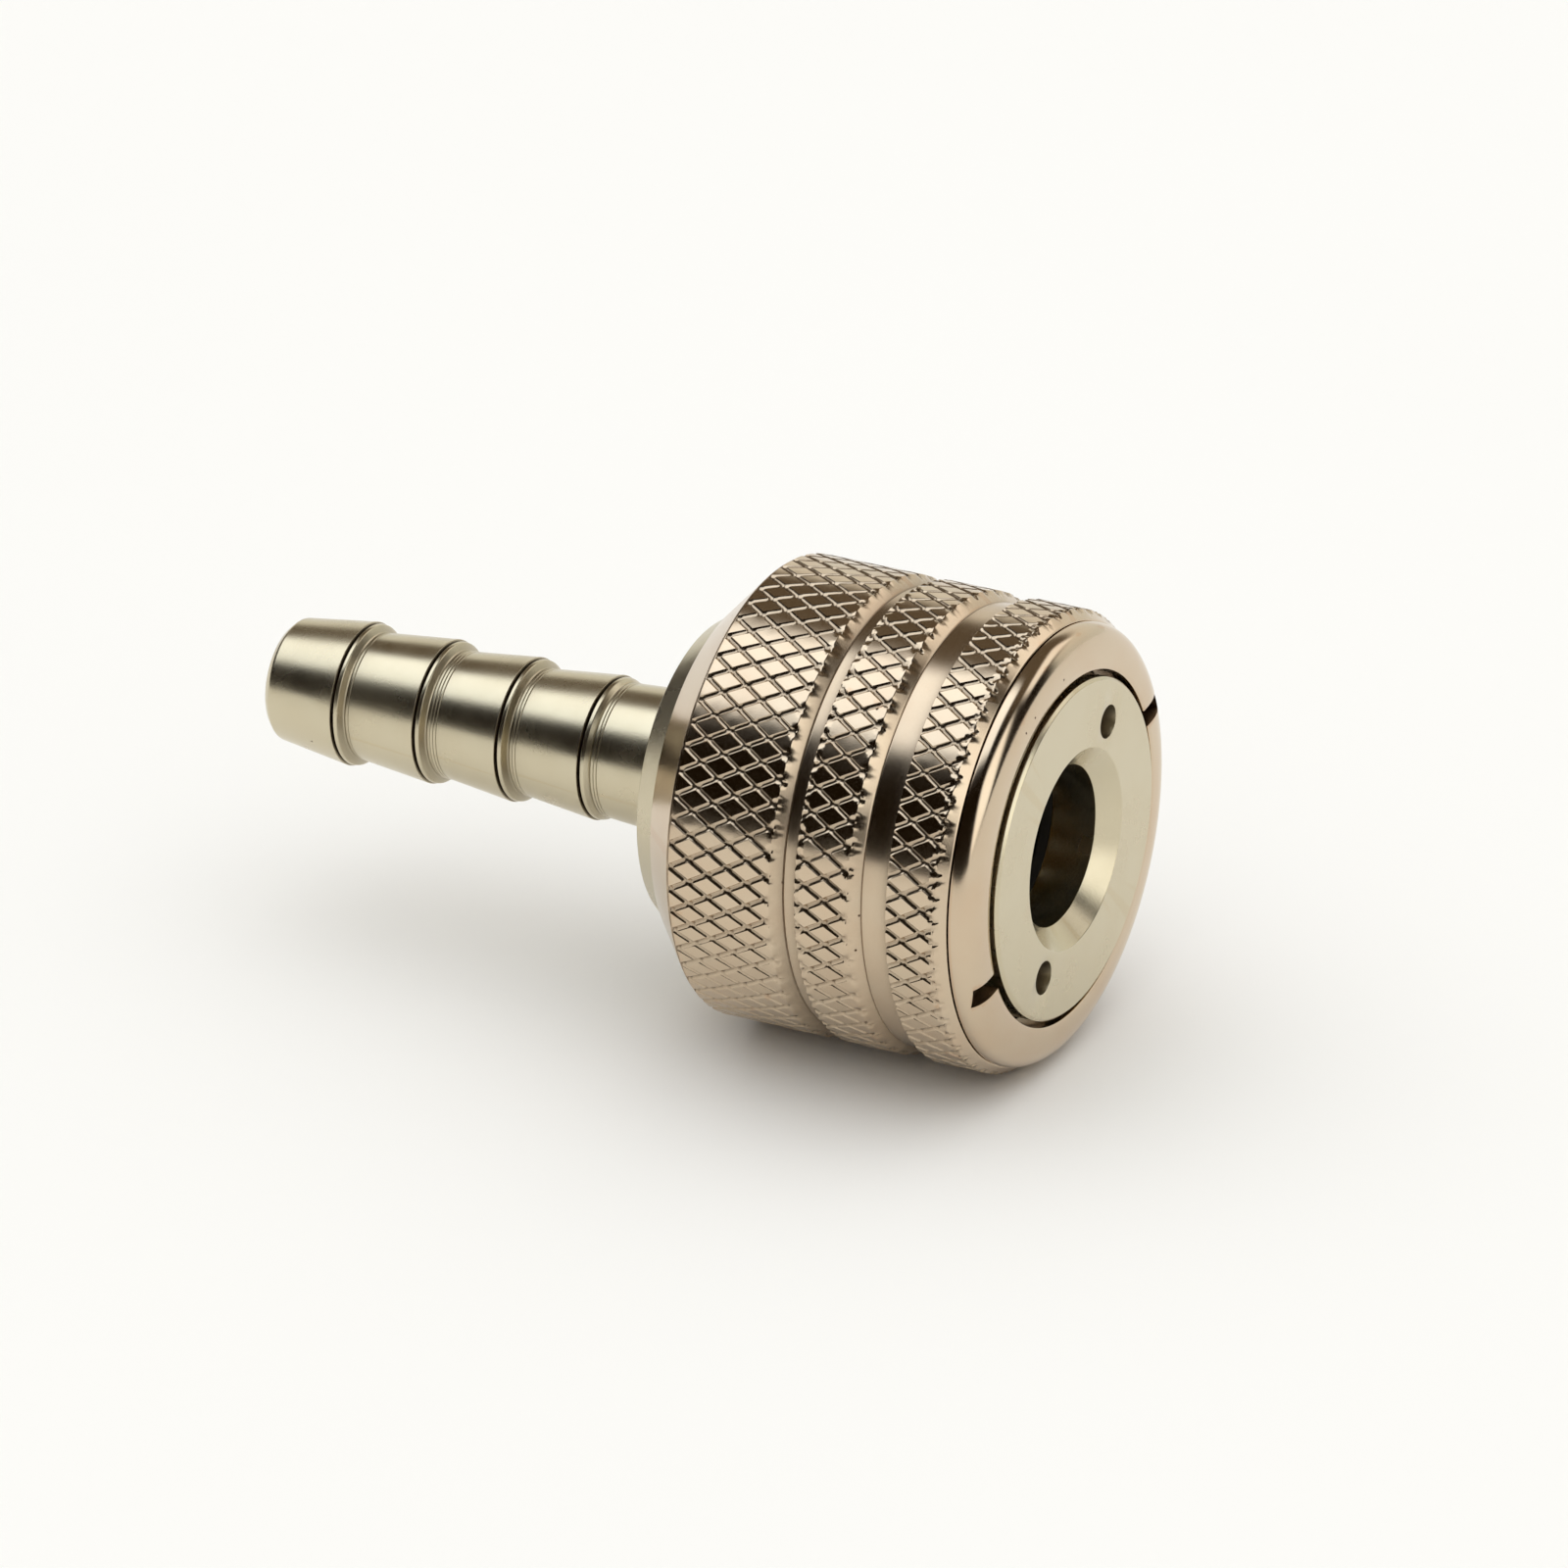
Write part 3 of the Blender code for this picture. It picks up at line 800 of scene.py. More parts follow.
@dataclass
class Knurl:
    """A diamond knurl, cut by two helices of V grooves that leave flat-topped diamonds."""

    starts: int = 60
    lead: float = 2.7207
    crossing_x: float = 9.05
    crossing_angle: float = math.radians(121)
    deep: float = 0.24
    shallow: float = 0.20
    cells: int = 7
    unevenness: float = 0.5
    unevenness_size: float = 0.8
    dent_depth: float = 0.012
    dent_size: float = 0.6
    reach: float = 0.3

    @property
    def around(self) -> int:
        """Points in a ring, so that every groove runs along edges of the mesh."""
        return self.starts * self.cells

    @property
    def column(self) -> float:
        """Space between rings along the axis."""
        return self.lead / self.cells / 2

    def columns(self, start: float, end: float) -> Iterable[tuple[float, bool]]:
        """The knurl's own rings between two places.

        Args:
            start: x of the first place.
            end: x of the second.

        Yields:
            x of each ring, and whether it is a half ring.
        """
        low = math.ceil((start - self.crossing_x) / self.column + 0.3)
        high = math.floor((end - self.crossing_x) / self.column - 0.3)
        for number in range(low, high + 1):
            yield self.crossing_x + number * self.column, number % 2 == 1

    def grooves(self, tree: NodeTree, given: Sockets) -> Node:
        """Adds the nodes that press the grooves into a turned sleeve.

        Args:
            tree: the geometry tree.
            given: its inputs.

        Returns:
            The node with the pressed sleeve.
        """
        place = add(tree, "GeometryNodeInputPosition")
        split = add(tree, "ShaderNodeSeparateXYZ", place).outputs
        across = add(tree, "Vector MULTIPLY", place, (0.0, 1.0, 1.0))
        radius = add(tree, "Vector LENGTH", across).outputs["Value"]
        angle = add(tree, "Math ARCTAN2", split["Z"], split["Y"])
        angle = add(tree, "Math SUBTRACT", angle, given["Crossing angle"])
        turns = add(tree, "Math DIVIDE", angle, math.tau)
        turns = add(tree, "Math MULTIPLY", turns, given["Starts"])
        along = add(tree, "Math SUBTRACT", split["X"], given["Crossing X"])
        along = add(tree, "Math DIVIDE", along, given["Lead"])
        uneven, dent = (
            add(tree, NOISE, named={"Vector": place, "Scale": 1 / (size * MM), "Detail": detail})
            for size, detail in ((self.unevenness_size, 2.0), (self.dent_size, 1.0))
        )
        uneven = add(tree, "Math SUBTRACT", uneven, 0.5)
        uneven = add(tree, "Math MULTIPLY_ADD", uneven, given["Unevenness"], 1.0)
        cuts = []
        for operation, depth in (("ADD", "Shallow"), ("SUBTRACT", "Deep")):
            helix = add(tree, f"Math {operation}", turns, along)
            off_groove = add(tree, "Math PINGPONG", helix, 0.5)
            into = add(tree, MAP_RANGE, off_groove, 0.0, given["Groove share"], 1.0, 0.0)
            cut = add(tree, "Math MULTIPLY", into, given[depth])
            cuts.append(add(tree, "Math MULTIPLY", cut, uneven))
        deepest = add(tree, "Math MAXIMUM", *cuts)
        deepest = add(tree, "Math MULTIPLY_ADD", dent, given["Dents"], deepest)
        limit = add(tree, "Math SUBTRACT", given["Crest radius"], deepest)
        pressed = add(tree, "Math MINIMUM", radius, limit)
        ratio = add(tree, "Math DIVIDE", pressed, radius)
        new_y = add(tree, "Math MULTIPLY", split["Y"], ratio)
        new_z = add(tree, "Math MULTIPLY", split["Z"], ratio)
        moved = add(tree, "ShaderNodeCombineXYZ", split["X"], new_y, new_z)
        return add(tree, SET_POSITION, named={"Geometry": given["Geometry"], "Position": moved})

    def press(self, piece: Object, crest: float, finish: Material) -> None:
        """Presses the knurl into a piece.

        Args:
            piece: the turned sleeve.
            crest: radius of the diamonds' flats in millimetres.
            finish: its material.
        """
        values = {
            "Crest radius": crest * MM,
            "Starts": float(self.starts),
            "Lead": self.lead * MM,
            "Crossing X": self.crossing_x * MM,
            "Crossing angle": self.crossing_angle,
            "Groove share": 1 / self.cells,
            "Deep": self.deep * MM,
            "Shallow": self.shallow * MM,
            "Unevenness": self.unevenness,
            "Dents": self.dent_depth * MM,
            "Finish": finish,
        }
        apply_tree(piece, "Diamond knurl", values, self.grooves)
        self.sharpen(piece.data, (crest - self.reach) * MM)

    @staticmethod
    def sharpen(mesh: Mesh, inside: float) -> None:
        """Keeps the diamonds' edges crisp and the bottoms of their grooves round.

        Args:
            mesh: the knurled mesh.
            inside: radius in metres inside which nothing changes.
        """
        bm = bmesh.new()
        bm.from_mesh(mesh)
        for edge in bm.edges:
            if min(math.hypot(*point.co.yz) for point in edge.verts) > inside:
                edge.smooth = not (edge.is_convex and edge.calc_face_angle(0) > SHARP)
        bm.to_mesh(mesh)
        bm.free()


@dataclass
class SlidingSleeve(SubAssembly):
    """Knurled sleeve and the washers behind it; its lock ring and spring are built by their own classes."""

    knurl: Knurl = field(default_factory=Knurl)
    bands: tuple[tuple[float, float], ...] = ((4.9, 12.0), (13.8, 17.45), (20.2, 23.5))
    chamfer: float = 0.7
    groove_radius: float = 14.4
    rear_bore: float = 11.5
    rear_lip: float = 0.25
    shoulder: float = 12.5
    land: float = 9.15
    ramp_end: float = 20.5
    ramp_radius: float = 9.97
    travel: float = 3.5
    ball_lift: float = 0.8
    relief: float = 10.2
    stop: float = 22.4
    front_bore: float = 13.1

    def outline(self, reach: Envelope) -> Outline:
        """The sleeve's outline, with its grooves and bands.

        Args:
            reach: where the sleeve starts and ends.

        Returns:
            The outline.
        """
        crest = reach.radius
        outline = Outline().to(reach.start, self.rear_bore, 0.08)
        outline.to(reach.start, self.rear_bore + self.rear_lip, 0.08)
        for number, (start, end) in enumerate(self.bands):
            if number == 0:
                outline.to(start - 0.16, crest - 0.15, 0.03)
                outline.to(start - 0.07, crest - 0.24)
            outline.to(start, crest - (0.13 if number == 0 else 0.0), 0.05)
            if number == 0:
                outline.to(start + 0.05, crest)
            outline.to(end, crest, 0.06)
            outline.to(end + self.chamfer, self.groove_radius + 0.02, 0.12)
            if number < len(self.bands) - 1:
                outline.to(end + self.chamfer + 0.06, self.groove_radius - 0.05)
                outline.to(end + self.chamfer + 0.14, self.groove_radius, 0.08)
                outline.to(self.bands[number + 1][0], self.groove_radius)
        outline.to(reach.end, self.front_bore)
        outline.to(self.stop, self.front_bore).to(self.stop, self.relief)
        outline.to(self.ramp_end, self.relief).to(self.ramp_end, self.ramp_radius)
        outline.to(self.ramp_start(), self.land).to(self.shoulder, self.land)
        return outline.to(self.shoulder, self.rear_bore)

    def ramp_start(self) -> float:
        """Where the ramp over the balls meets the land."""
        return self.ramp_end - (self.ramp_radius - self.land) * self.travel / self.ball_lift

    def rings(self, reach: Envelope) -> list[Ring]:
        """The outline's rings, with the knurl's own rings wherever its grooves reach.

        Args:
            reach: where the sleeve starts and ends.

        Returns:
            The rings in order.
        """
        points = self.outline(reach).traced()
        touched = reach.radius - self.knurl.deep - 0.1
        rings: list[Ring] = []
        half = False
        for index, (x, radius) in enumerate(points):
            rings.append(Ring(x, radius, half))
            next_x, next_radius = points[(index + 1) % len(points)]
            if next_x - x < self.knurl.column or max(radius, next_radius) < touched:
                continue
            for column_x, half in self.knurl.columns(x, next_x):
                share = (column_x - x) / (next_x - x)
                column_radius = radius + (next_radius - radius) * share
                if column_radius > touched:
                    rings.append(Ring(column_x, column_radius, half))
        return rings

    def build(self) -> None:
        """Makes the sleeve, then the parts that ride in it."""
        reach = Envelope.of("sleeve")
        knurl = self.knurl
        sleeve = ringed("sleeve_knurled", self.rings(reach), knurl.around, knurl.crossing_angle)
        knurl.press(sleeve, reach.radius, self.finishes.made[Slot.NICKEL_SLEEVE])
        self.fit(sleeve, Body.SLEEVE, Slot.NICKEL_SLEEVE, "sleeve")
        thrust = Envelope.of("thrust_washer")
        flat = washer(thrust.start, thrust.end, self.land, thrust.radius, 0.1)
        self.fit(turned("thrust_washer_cut", flat), Body.SLIDER, Slot.PTFE, "thrust_washer")
        stop = Envelope.of("stop_washer")
        flat = washer(stop.start, stop.end, self.land, stop.radius, 0.1)
        self.fit(turned("stop_washer_stamped", flat), Body.SLIDER, Slot.BRIGHT_STEEL, "stop_washer")


@dataclass
class LockRing(SubAssembly):
    """Rounded ring that screws into the sleeve's front, with two slots for a spanner."""

    bore: float = 11.53
    skirt_radius: float = 13.0
    back: float = 24.3
    face_radius: float = 12.0
    squareness: float = 2.4
    slot_width: float = 1.35
    slot_length: float = 3.2
    slot_middle: float = 12.35
    slot_floor: float = 24.7
    slot_angle: float = math.radians(23)
    slot_skew: float = math.radians(-14)
    crown_steps: int = 30

    def build(self) -> None:
        """Makes the ring and cuts its slots."""
        reach = Envelope.of("lock_ring")
        length = reach.end - self.back
        height = reach.radius - self.face_radius
        outline = Outline().to(reach.start, self.bore).to(reach.start, self.skirt_radius, 0.1)
        outline.to(self.back, self.skirt_radius)
        power = 2 / self.squareness
        for step in range(self.crown_steps + 1):
            angle = math.pi / 2 * (step / self.crown_steps)
            across = self.face_radius + height * math.cos(angle) ** power
            outline.to(self.back + length * math.sin(angle) ** power, across)
        outline.to(reach.end, self.bore + 0.1).to(reach.end - 0.03, self.bore + 0.03)
        outline.to(reach.end - 0.1, self.bore)
        ring = turned("lock_ring_slotted", outline, 320)
        slots = bmesh.new()
        slot_depth = reach.end - self.slot_floor + 1
        size = Matrix.Diagonal((slot_depth * MM, self.slot_length * MM, self.slot_width * MM, 1))
        for angle in (self.slot_angle, self.slot_angle + math.pi):
            middle = radial(angle, self.slot_middle, self.slot_floor + slot_depth / 2)
            turn = Matrix.Rotation(angle + self.slot_skew, 4, "X")
            bmesh.ops.create_cube(slots, size=1, matrix=Matrix.Translation(middle * MM) @ turn @ size)
        carve(ring, slots, 0.05)
        self.fit(ring, Body.SLEEVE, Slot.NICKEL_SLEEVE, "lock_ring")


@dataclass
class Nose(SubAssembly):
    """Countersunk nose insert, and the seal and backup ring that it holds in the barrel."""

    back: float = 23.5
    spigot_radius: float = 7.1
    bore: float = 5.25
    edge: float = 0.2
    countersink_radius: float = 6.6
    countersink_depth: float = 1.2
    hole_radius: float = 1.1
    hole_depth: float = 1.8
    hole_circle: float = 8.35
    hole_angle: float = math.radians(57.7)
    seal_x: float = 20.0
    seal_centre: float = 5.9
    seal_section: float = 0.95
    backup_bore: float = 5.35

    def build(self) -> None:
        """Makes the three pieces."""
        reach = Envelope.of("nose_insert")
        face = reach.end
        outline = Outline().to(reach.start, self.bore, 0.05).to(reach.start, self.spigot_radius, 0.1)
        outline.to(self.back, self.spigot_radius).to(self.back, reach.radius, 0.1)
        outline.to(face - self.edge, reach.radius, 0.05).to(face, reach.radius - self.edge, 0.05)
        outline.to(face, self.countersink_radius, 0.04)
        outline.to(face - self.countersink_depth, self.bore, 0.05)
        nose = turned("nose_insert_drilled", outline, 256)
        holes = bmesh.new()
        for angle in (self.hole_angle, self.hole_angle + math.pi):
            base = radial(angle, self.hole_circle, face - self.hole_depth)
            post(holes, base, Vector((1, 0, 0)), self.hole_depth + 1, self.hole_radius)
        carve(nose, holes, 0.05)
        self.fit(nose, Body.HOUSING, Slot.NICKEL_TAIL, "nose_insert")
        seal = turned("plug_seal_moulded", o_ring(self.seal_x, self.seal_centre, self.seal_section))
        self.fit(seal, Body.HOUSING, Slot.SEAL_RUBBER, "plug_seal")
        backup = Envelope.of("backup_ring")
        flat = washer(backup.start, backup.end, self.backup_bore, backup.radius, 0.06)
        self.fit(turned("backup_ring_cut", flat), Body.HOUSING, Slot.PTFE, "backup_ring")


@dataclass
class BallLock(SubAssembly):
    """Barrel with its ball pockets, and the six balls."""

    rear_counterbore: float = 7.0
    chamber_start: float = 7.2
    chamber: float = 6.2
    seat_start: float = 12.2
    bore: float = 5.25
    seal_shoulder: float = 18.9
    seal_housing: float = 7.2
    balls: int = 6
    ball_radius: float = 2.25
    pocket_well: float = 2.4
    pocket_mouth: float = 1.9
    taper_end: float = 6.2

    def centre(self, number: int) -> Vector:
        """A ball's centre in millimetres, read from the frame."""
        low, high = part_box(f"lock_ball_{number}")
        return (low + high) / 2 / MM

    def build(self) -> None:
        """Makes the barrel, cuts its pockets and makes the balls."""
        reach = Envelope.of("barrel")
        outline = Outline().to(reach.start, self.rear_counterbore, 0.1)
        outline.to(reach.start, reach.radius, 0.3).to(reach.end, reach.radius, 0.15)
        outline.to(reach.end, self.seal_housing, 0.1).to(self.seal_shoulder, self.seal_housing)
        outline.to(self.seal_shoulder, self.bore, 0.08)
        outline.to(self.seat_start + self.chamber - self.bore, self.bore, 0.08)
        outline.to(self.seat_start, self.chamber).to(self.chamber_start, self.chamber)
        outline.to(self.chamber_start, self.rear_counterbore)
        barrel = turned("barrel_ported", outline, 160)
        taper = self.taper_end - self.bore
        narrow = 2 * self.pocket_mouth - self.pocket_well
        wells = bmesh.new()
        tapers = bmesh.new()
        for number in range(1, self.balls + 1):
            centre = self.centre(number)
            outward = Vector((0, centre.y, centre.z)).normalized()
            seat = Vector((centre.x, 0, 0))
            wide = self.pocket_well - 0.05
            post(tapers, seat + outward * (self.bore - taper), outward, 2 * taper, narrow, wide - narrow)
            post(wells, seat + outward * (self.taper_end - 0.1), outward, 4, self.pocket_well)
        carve(barrel, tapers)
        carve(barrel, wells)
        self.fit(barrel, Body.HOUSING, Slot.PLAIN_BRASS, "barrel")
        for number in range(1, self.balls + 1):
            bm = bmesh.new()
            place = Matrix.Translation(self.centre(number) * MM)
            bmesh.ops.create_icosphere(bm, subdivisions=4, radius=self.ball_radius * MM, matrix=place)
            ball = object_from(bm, f"lock_ball_{number}_ground")
            self.fit(ball, Body(f"ball_{number}"), Slot.BRIGHT_STEEL, f"lock_ball_{number}")


@dataclass
class ShutOffValve(SubAssembly):
    """Poppet with its seal, and the drilled washer that guides it."""

    guide_bore: float = 1.35
    gas_holes: int = 4
    gas_hole_radius: float = 1.0
    gas_hole_circle: float = 4.9
    stem: float = 1.2
    back: float = 10.9
    back_radius: float = 5.9
    groove: tuple[float, float] = (11.5, 12.75)
    groove_radius: float = 4.7
    nose_radius: float = 5.0
    dish_radius: float = 3.6
    dish_depth: float = 0.8
    seal_x: float = 12.1
    seal_centre: float = 5.35
    seal_section: float = 0.55

    def build(self) -> None:
        """Makes the guide, the poppet and its seal."""
        guide = Envelope.of("valve_guide")
        flat = washer(guide.start, guide.end, self.guide_bore, guide.radius, 0.08)
        piece = turned("valve_guide_drilled", flat)
        holes = bmesh.new()
        for number in range(self.gas_holes):
            base = radial(math.tau * number / self.gas_holes, self.gas_hole_circle, guide.start - 1)
            post(holes, base, Vector((1, 0, 0)), guide.end - guide.start + 2, self.gas_hole_radius)
        carve(piece, holes)
        self.fit(piece, Body.HOUSING, Slot.PLAIN_BRASS, "valve_guide")
        reach = Envelope.of("valve_poppet")
        outline = Outline().to(reach.start, 0).to(reach.start, self.stem, 0.3).to(self.back, self.stem, 0.3)
        outline.to(self.back, self.back_radius, 0.1).to(self.groove[0], self.back_radius, 0.1)
        outline.to(self.groove[0], self.groove_radius).to(self.groove[1], self.groove_radius)
        outline.to(self.groove[1], self.nose_radius, 0.1).to(reach.end, self.nose_radius, 0.3)
        outline.to(reach.end, self.dish_radius, 0.1).to(reach.end - self.dish_depth, 0)
        poppet = turned("valve_poppet_turned", outline, 128)
        self.fit(poppet, Body.POPPET, Slot.PLAIN_BRASS, "valve_poppet")
        seal = turned("poppet_seal_moulded", o_ring(self.seal_x, self.seal_centre, self.seal_section), 128)
        self.fit(seal, Body.POPPET, Slot.SEAL_RUBBER, "poppet_seal")


@dataclass(frozen=True)
class Coil:
    """One spring: its CAD node and the joint that shortens it, and its radii and number of turns."""

    node: str
    joint: str
    rear: float
    front: float
    wire: float
    turns: float


@dataclass
class Springs(SubAssembly):
    """The sleeve's spring and the valve's cone-shaped spring, coiled from round wire with closed ends."""

    coils: tuple[Coil, ...] = (
        Coil("sleeve_spring", "sleeve_slide", 10.2, 10.2, 0.4, 4.0),
        Coil("valve_spring", "poppet_slide", 2.5, 4.4, 0.25, 3.0),
    )
    wire_sides: int = 12
    steps_per_turn: int = 40

    @staticmethod
    def wind(tree: NodeTree, given: Sockets) -> Node:
        """Adds the nodes that coil a spring.

        Args:
            tree: the geometry tree.
            given: its inputs.

        Returns:
            The node with the spring.
        """
        line = add(tree, "GeometryNodeMeshLine", named={"Count": given["Steps"]})
        route = add(tree, "GeometryNodeMeshToCurve", line)
        share = add(tree, "GeometryNodeSplineParameter").outputs["Factor"]
        # The first and last half turn lie flat, so that the spring's ends are closed.
        flat = add(tree, "Math DIVIDE", 0.5, given["Turns"])
        rise_end = add(tree, "Math SUBTRACT", 1.0, flat)
        risen = add(tree, MAP_RANGE, share, flat, rise_end, 0.0, 1.0, interpolation_type="SMOOTHSTEP")
        thickness = add(tree, "Math MULTIPLY", given["Wire radius"], 2.0)
        rise = add(tree, "Math SUBTRACT", given["Length"], thickness)
        foot = add(tree, "Math ADD", given["Start"], given["Wire radius"])
        x = add(tree, "Math MULTIPLY_ADD", risen, rise, foot)
        radius = add(tree, MAP_RANGE, share, 0.0, 1.0, given["Rear radius"], given["Front radius"])
        angle = add(tree, "Math MULTIPLY", share, given["Turns"])
        angle = add(tree, "Math MULTIPLY", angle, math.tau)
        y, z = (
            add(tree, "Math MULTIPLY", add(tree, f"Math {wave}", angle), radius)
            for wave in ("COSINE", "SINE")
        )
        place = add(tree, "ShaderNodeCombineXYZ", x, y, z)
        coil = add(tree, SET_POSITION, named={"Geometry": route, "Position": place})
        named = {"Resolution": given["Sides"], "Radius": given["Wire radius"]}
        section = add(tree, "GeometryNodeCurvePrimitiveCircle", named=named)
        named = {"Curve": coil, "Profile Curve": section, "Fill Caps": True}
        return add(tree, "GeometryNodeCurveToMesh", named=named)

    def make(self, coil: Coil, joint: dict) -> None:
        """Makes one spring.

        Args:
            coil: its sizes.
            joint: the frame's record of its joint; not used.
        """
        low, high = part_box(coil.node)
        mesh = bpy.data.meshes.new(f"{coil.node}_coiled")
        mesh.from_pydata([(0, 0, 0)], [], [])
        spring = bpy.data.objects.new(f"{coil.node}_coiled", mesh)
        bpy.context.scene.collection.objects.link(spring)
        values = {
            "Start": low.x,
            "Length": high.x - low.x,
            "Rear radius": coil.rear * MM,
            "Front radius": coil.front * MM,
            "Wire radius": coil.wire * MM,
            "Turns": coil.turns,
            "Steps": round(coil.turns * self.steps_per_turn) + 1,
            "Sides": self.wire_sides,
            "Finish": self.finishes.made[Slot.BRIGHT_STEEL],
        }
        apply_tree(spring, "Coiled spring", values, self.wind)
        bm = bmesh.new()
        bm.from_mesh(spring.data)
        bmesh.ops.remove_doubles(bm, verts=bm.verts, dist=1e-7)
        bmesh.ops.recalc_face_normals(bm, faces=bm.faces)
        bm.to_mesh(spring.data)
        bm.free()
        spring.data.shade_smooth()
        spring.data.set_sharp_from_angle(angle=math.radians(50))
        self.fit(spring, Body.HOUSING, Slot.BRIGHT_STEEL, coil.node)
        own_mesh(spring)

    def build(self, joints: dict[str, dict]) -> None:
        """Makes both springs."""
        for coil in self.coils:
            self.make(coil, joints[coil.joint])


# ---- studio


@dataclass(frozen=True)
class Softbox:
    """A glowing panel of the studio, far away, seen only in reflections."""

    towards: tuple[float, float, float]
    across: tuple[float, float, float]
    half_width: float
    half_height: float
    soft_edge: float
    glow: float
    tint: str

    def add_to(self, tree: NodeTree, gaze: NodeSocket) -> NodeSocket:
        """Adds the panel's light for every direction.

        Args:
            tree: the world's tree.
            gaze: the direction that is looked in.

        Returns:
            The panel's colour, black outside it.
        """
        centre = Vector(self.towards).normalized()
        side = Vector(self.across)
        side = (side - centre * side.dot(centre)).normalized()
        rise = centre.cross(side)
        ahead = add(tree, "Vector DOT_PRODUCT", gaze, tuple(centre)).outputs["Value"]
        ahead = add(tree, "Math MAXIMUM", ahead, 1e-3)
        cover = None
        for axis, half in ((side, self.half_width), (rise, self.half_height)):
            off = add(tree, "Vector DOT_PRODUCT", gaze, tuple(axis)).outputs["Value"]
            off = add(tree, "Math DIVIDE", off, ahead)
            off = add(tree, "Math ABSOLUTE", off)
            edge = (half - self.soft_edge, half + self.soft_edge)
            inside = add(tree, MAP_RANGE, off, *edge, 1.0, 0.0, interpolation_type="SMOOTHSTEP")
            cover = add(tree, "Math MULTIPLY", cover, inside) if cover else inside
        red, green, blue, _ = linear(self.tint)
        colour = (red * self.glow, green * self.glow, blue * self.glow)
        return add(tree, "Vector MULTIPLY", colour, cover).outputs["Vector"]


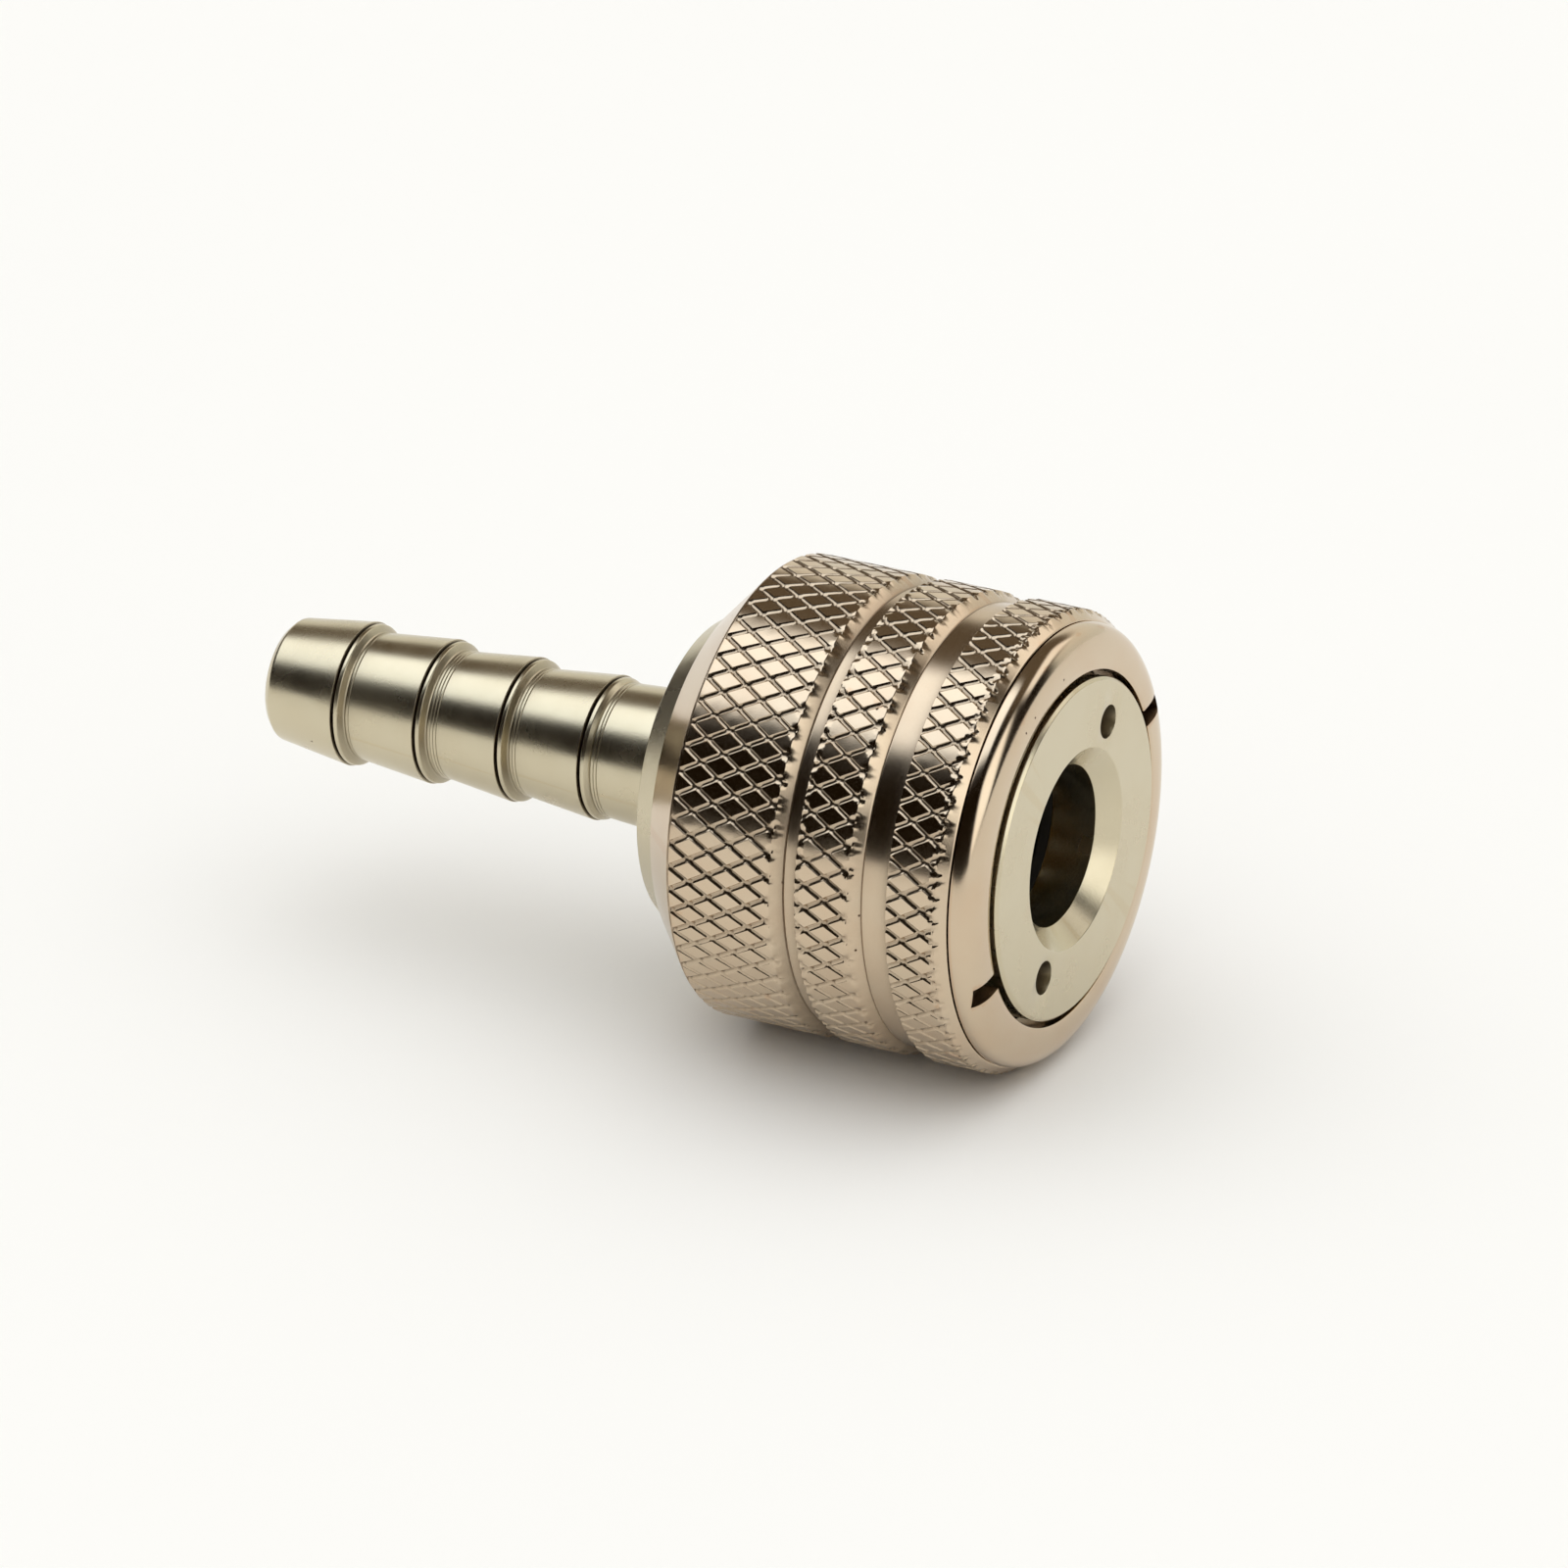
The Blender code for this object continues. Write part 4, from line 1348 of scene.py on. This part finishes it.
@dataclass
class Studio:
    """Pale floor, a soft white tent round it, and a camera with a long lens."""

    azimuth: float = 27.35
    elevation: float = 25.1
    lens: float = 300.0
    sensor: float = 36.0
    frame_width: float = 98.8
    right_of_nose: float = -18.4
    above_nose: float = 4.14
    tent_top: float = 1.52
    tent_foot: float = 0.2
    floor_size: float = 3.0
    dark: str = "#1C140A"
    softboxes: tuple[Softbox, ...] = (
        Softbox((-0.40, -0.13, 1.0), (1, 0, 0), 0.62, 0.41, 0.12, 1.83, "#F0F7FF"),
        Softbox((0.90, -0.19, 0.39), (0, 1, 0), 0.38, 0.40, 0.13, 1.60, "#FFFFFC"),
        Softbox((0.50, 0.64, 0.59), (-0.79, 0.62, 0), 0.36, 0.18, 0.08, 1.25, "#FFFDFA"),
        Softbox((-0.09, 1.0, 0.0), (1, 0, 0), 1.10, 0.52, 0.12, 0.85, "#F9FAF2"),
        Softbox((-0.20, 0.75, 0.90), (1, 0, 0), 1.30, 0.90, 0.50, 0.13, "#FFE4C0"),
    )

    def build(self) -> None:
        """Makes the camera, the light and the floor."""
        self.make_camera()
        self.make_light()
        self.make_floor()

    def make_camera(self) -> None:
        """Aims a long lens at the socket from its nose's side, from above."""
        turn, rise = math.radians(self.azimuth), math.radians(self.elevation)
        right = Vector((math.cos(turn), math.sin(turn), 0))
        back = Vector((math.sin(turn) * math.cos(rise), -math.cos(turn) * math.cos(rise), math.sin(rise)))
        up = back.cross(right)
        nose = Vector((Envelope.of("nose_insert").end, 0, 0))
        aim = nose + right * self.right_of_nose + up * self.above_nose
        distance = self.frame_width * self.lens / self.sensor
        data = bpy.data.cameras.new("studio camera")
        data.lens = self.lens
        data.sensor_width = self.sensor
        data.clip_start = 0.05
        camera = bpy.data.objects.new("studio camera", data)
        camera.matrix_world = Matrix.Translation((aim + back * distance) * MM) @ Matrix(
            (right, up, back)
        ).transposed().to_4x4()
        bpy.context.scene.collection.objects.link(camera)
        bpy.context.scene.camera = camera

    def make_light(self) -> None:
        """A white tent lights what is matt, and soft panels in the dark show in what is polished."""
        world = bpy.data.worlds.new("studio")
        bpy.context.scene.world = world
        world.use_nodes = True
        world.cycles.sampling_method = "NONE"
        tree = world.node_tree
        tree.nodes.clear()
        gaze = add(tree, "ShaderNodeTexCoord").outputs["Generated"]
        ray = add(tree, "ShaderNodeLightPath").outputs
        light = linear(self.dark)[:3]
        for softbox in self.softboxes:
            light = add(tree, "Vector ADD", light, softbox.add_to(tree, gaze))
        reflected = add(tree, "ShaderNodeBackground", light)
        height = add(tree, "ShaderNodeSeparateXYZ", gaze).outputs["Z"]
        tent = add(tree, MAP_RANGE, height, 0.2, 0.9, self.tent_foot, self.tent_top)
        tent = add(tree, "Math MAXIMUM", tent, ray["Is Camera Ray"])
        tent = add(tree, "ShaderNodeBackground", tent)
        mixed = add(tree, "ShaderNodeMixShader", ray["Is Glossy Ray"], tent, reflected)
        add(tree, "ShaderNodeOutputWorld", mixed)

    def make_floor(self) -> None:
        """A wide pale floor under the sleeve."""
        low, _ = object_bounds()
        bm = bmesh.new()
        level = Matrix.Translation((0, 0, low.z))
        bmesh.ops.create_grid(bm, x_segments=1, y_segments=1, size=self.floor_size, matrix=level)
        floor = object_from(bm, "studio floor")
        # Matt white paint on board: it only takes the shadow, with a mottle too faint to see as a pattern.
        board = Surface("Painted board", 0.9, 0.0)
        mottle = add(board.tree, NOISE, named={"Vector": board.place, "Scale": 8.0, "Detail": 2.0})
        board.tone(mottle, "#F9F8F4", "#F6F5F1")
        floor.data.materials.append(board.material)
        floor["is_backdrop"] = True


def main() -> None:
    """Builds the socket and its studio."""
    logging.basicConfig(level=logging.INFO, format="%(name)s: %(message)s")
    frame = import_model()
    joints = {joint["name"]: joint for joint in frame["joints"]}
    bpy.context.scene.view_settings.view_transform = "Standard"
    finishes = Finishes()
    Studio().build()
    HoseTail(finishes).build()
    SlidingSleeve(finishes).build()
    LockRing(finishes).build()
    Nose(finishes).build()
    BallLock(finishes).build()
    ShutOffValve(finishes).build()
    Springs(finishes).build(joints)


if __name__ == "__main__":
    main()
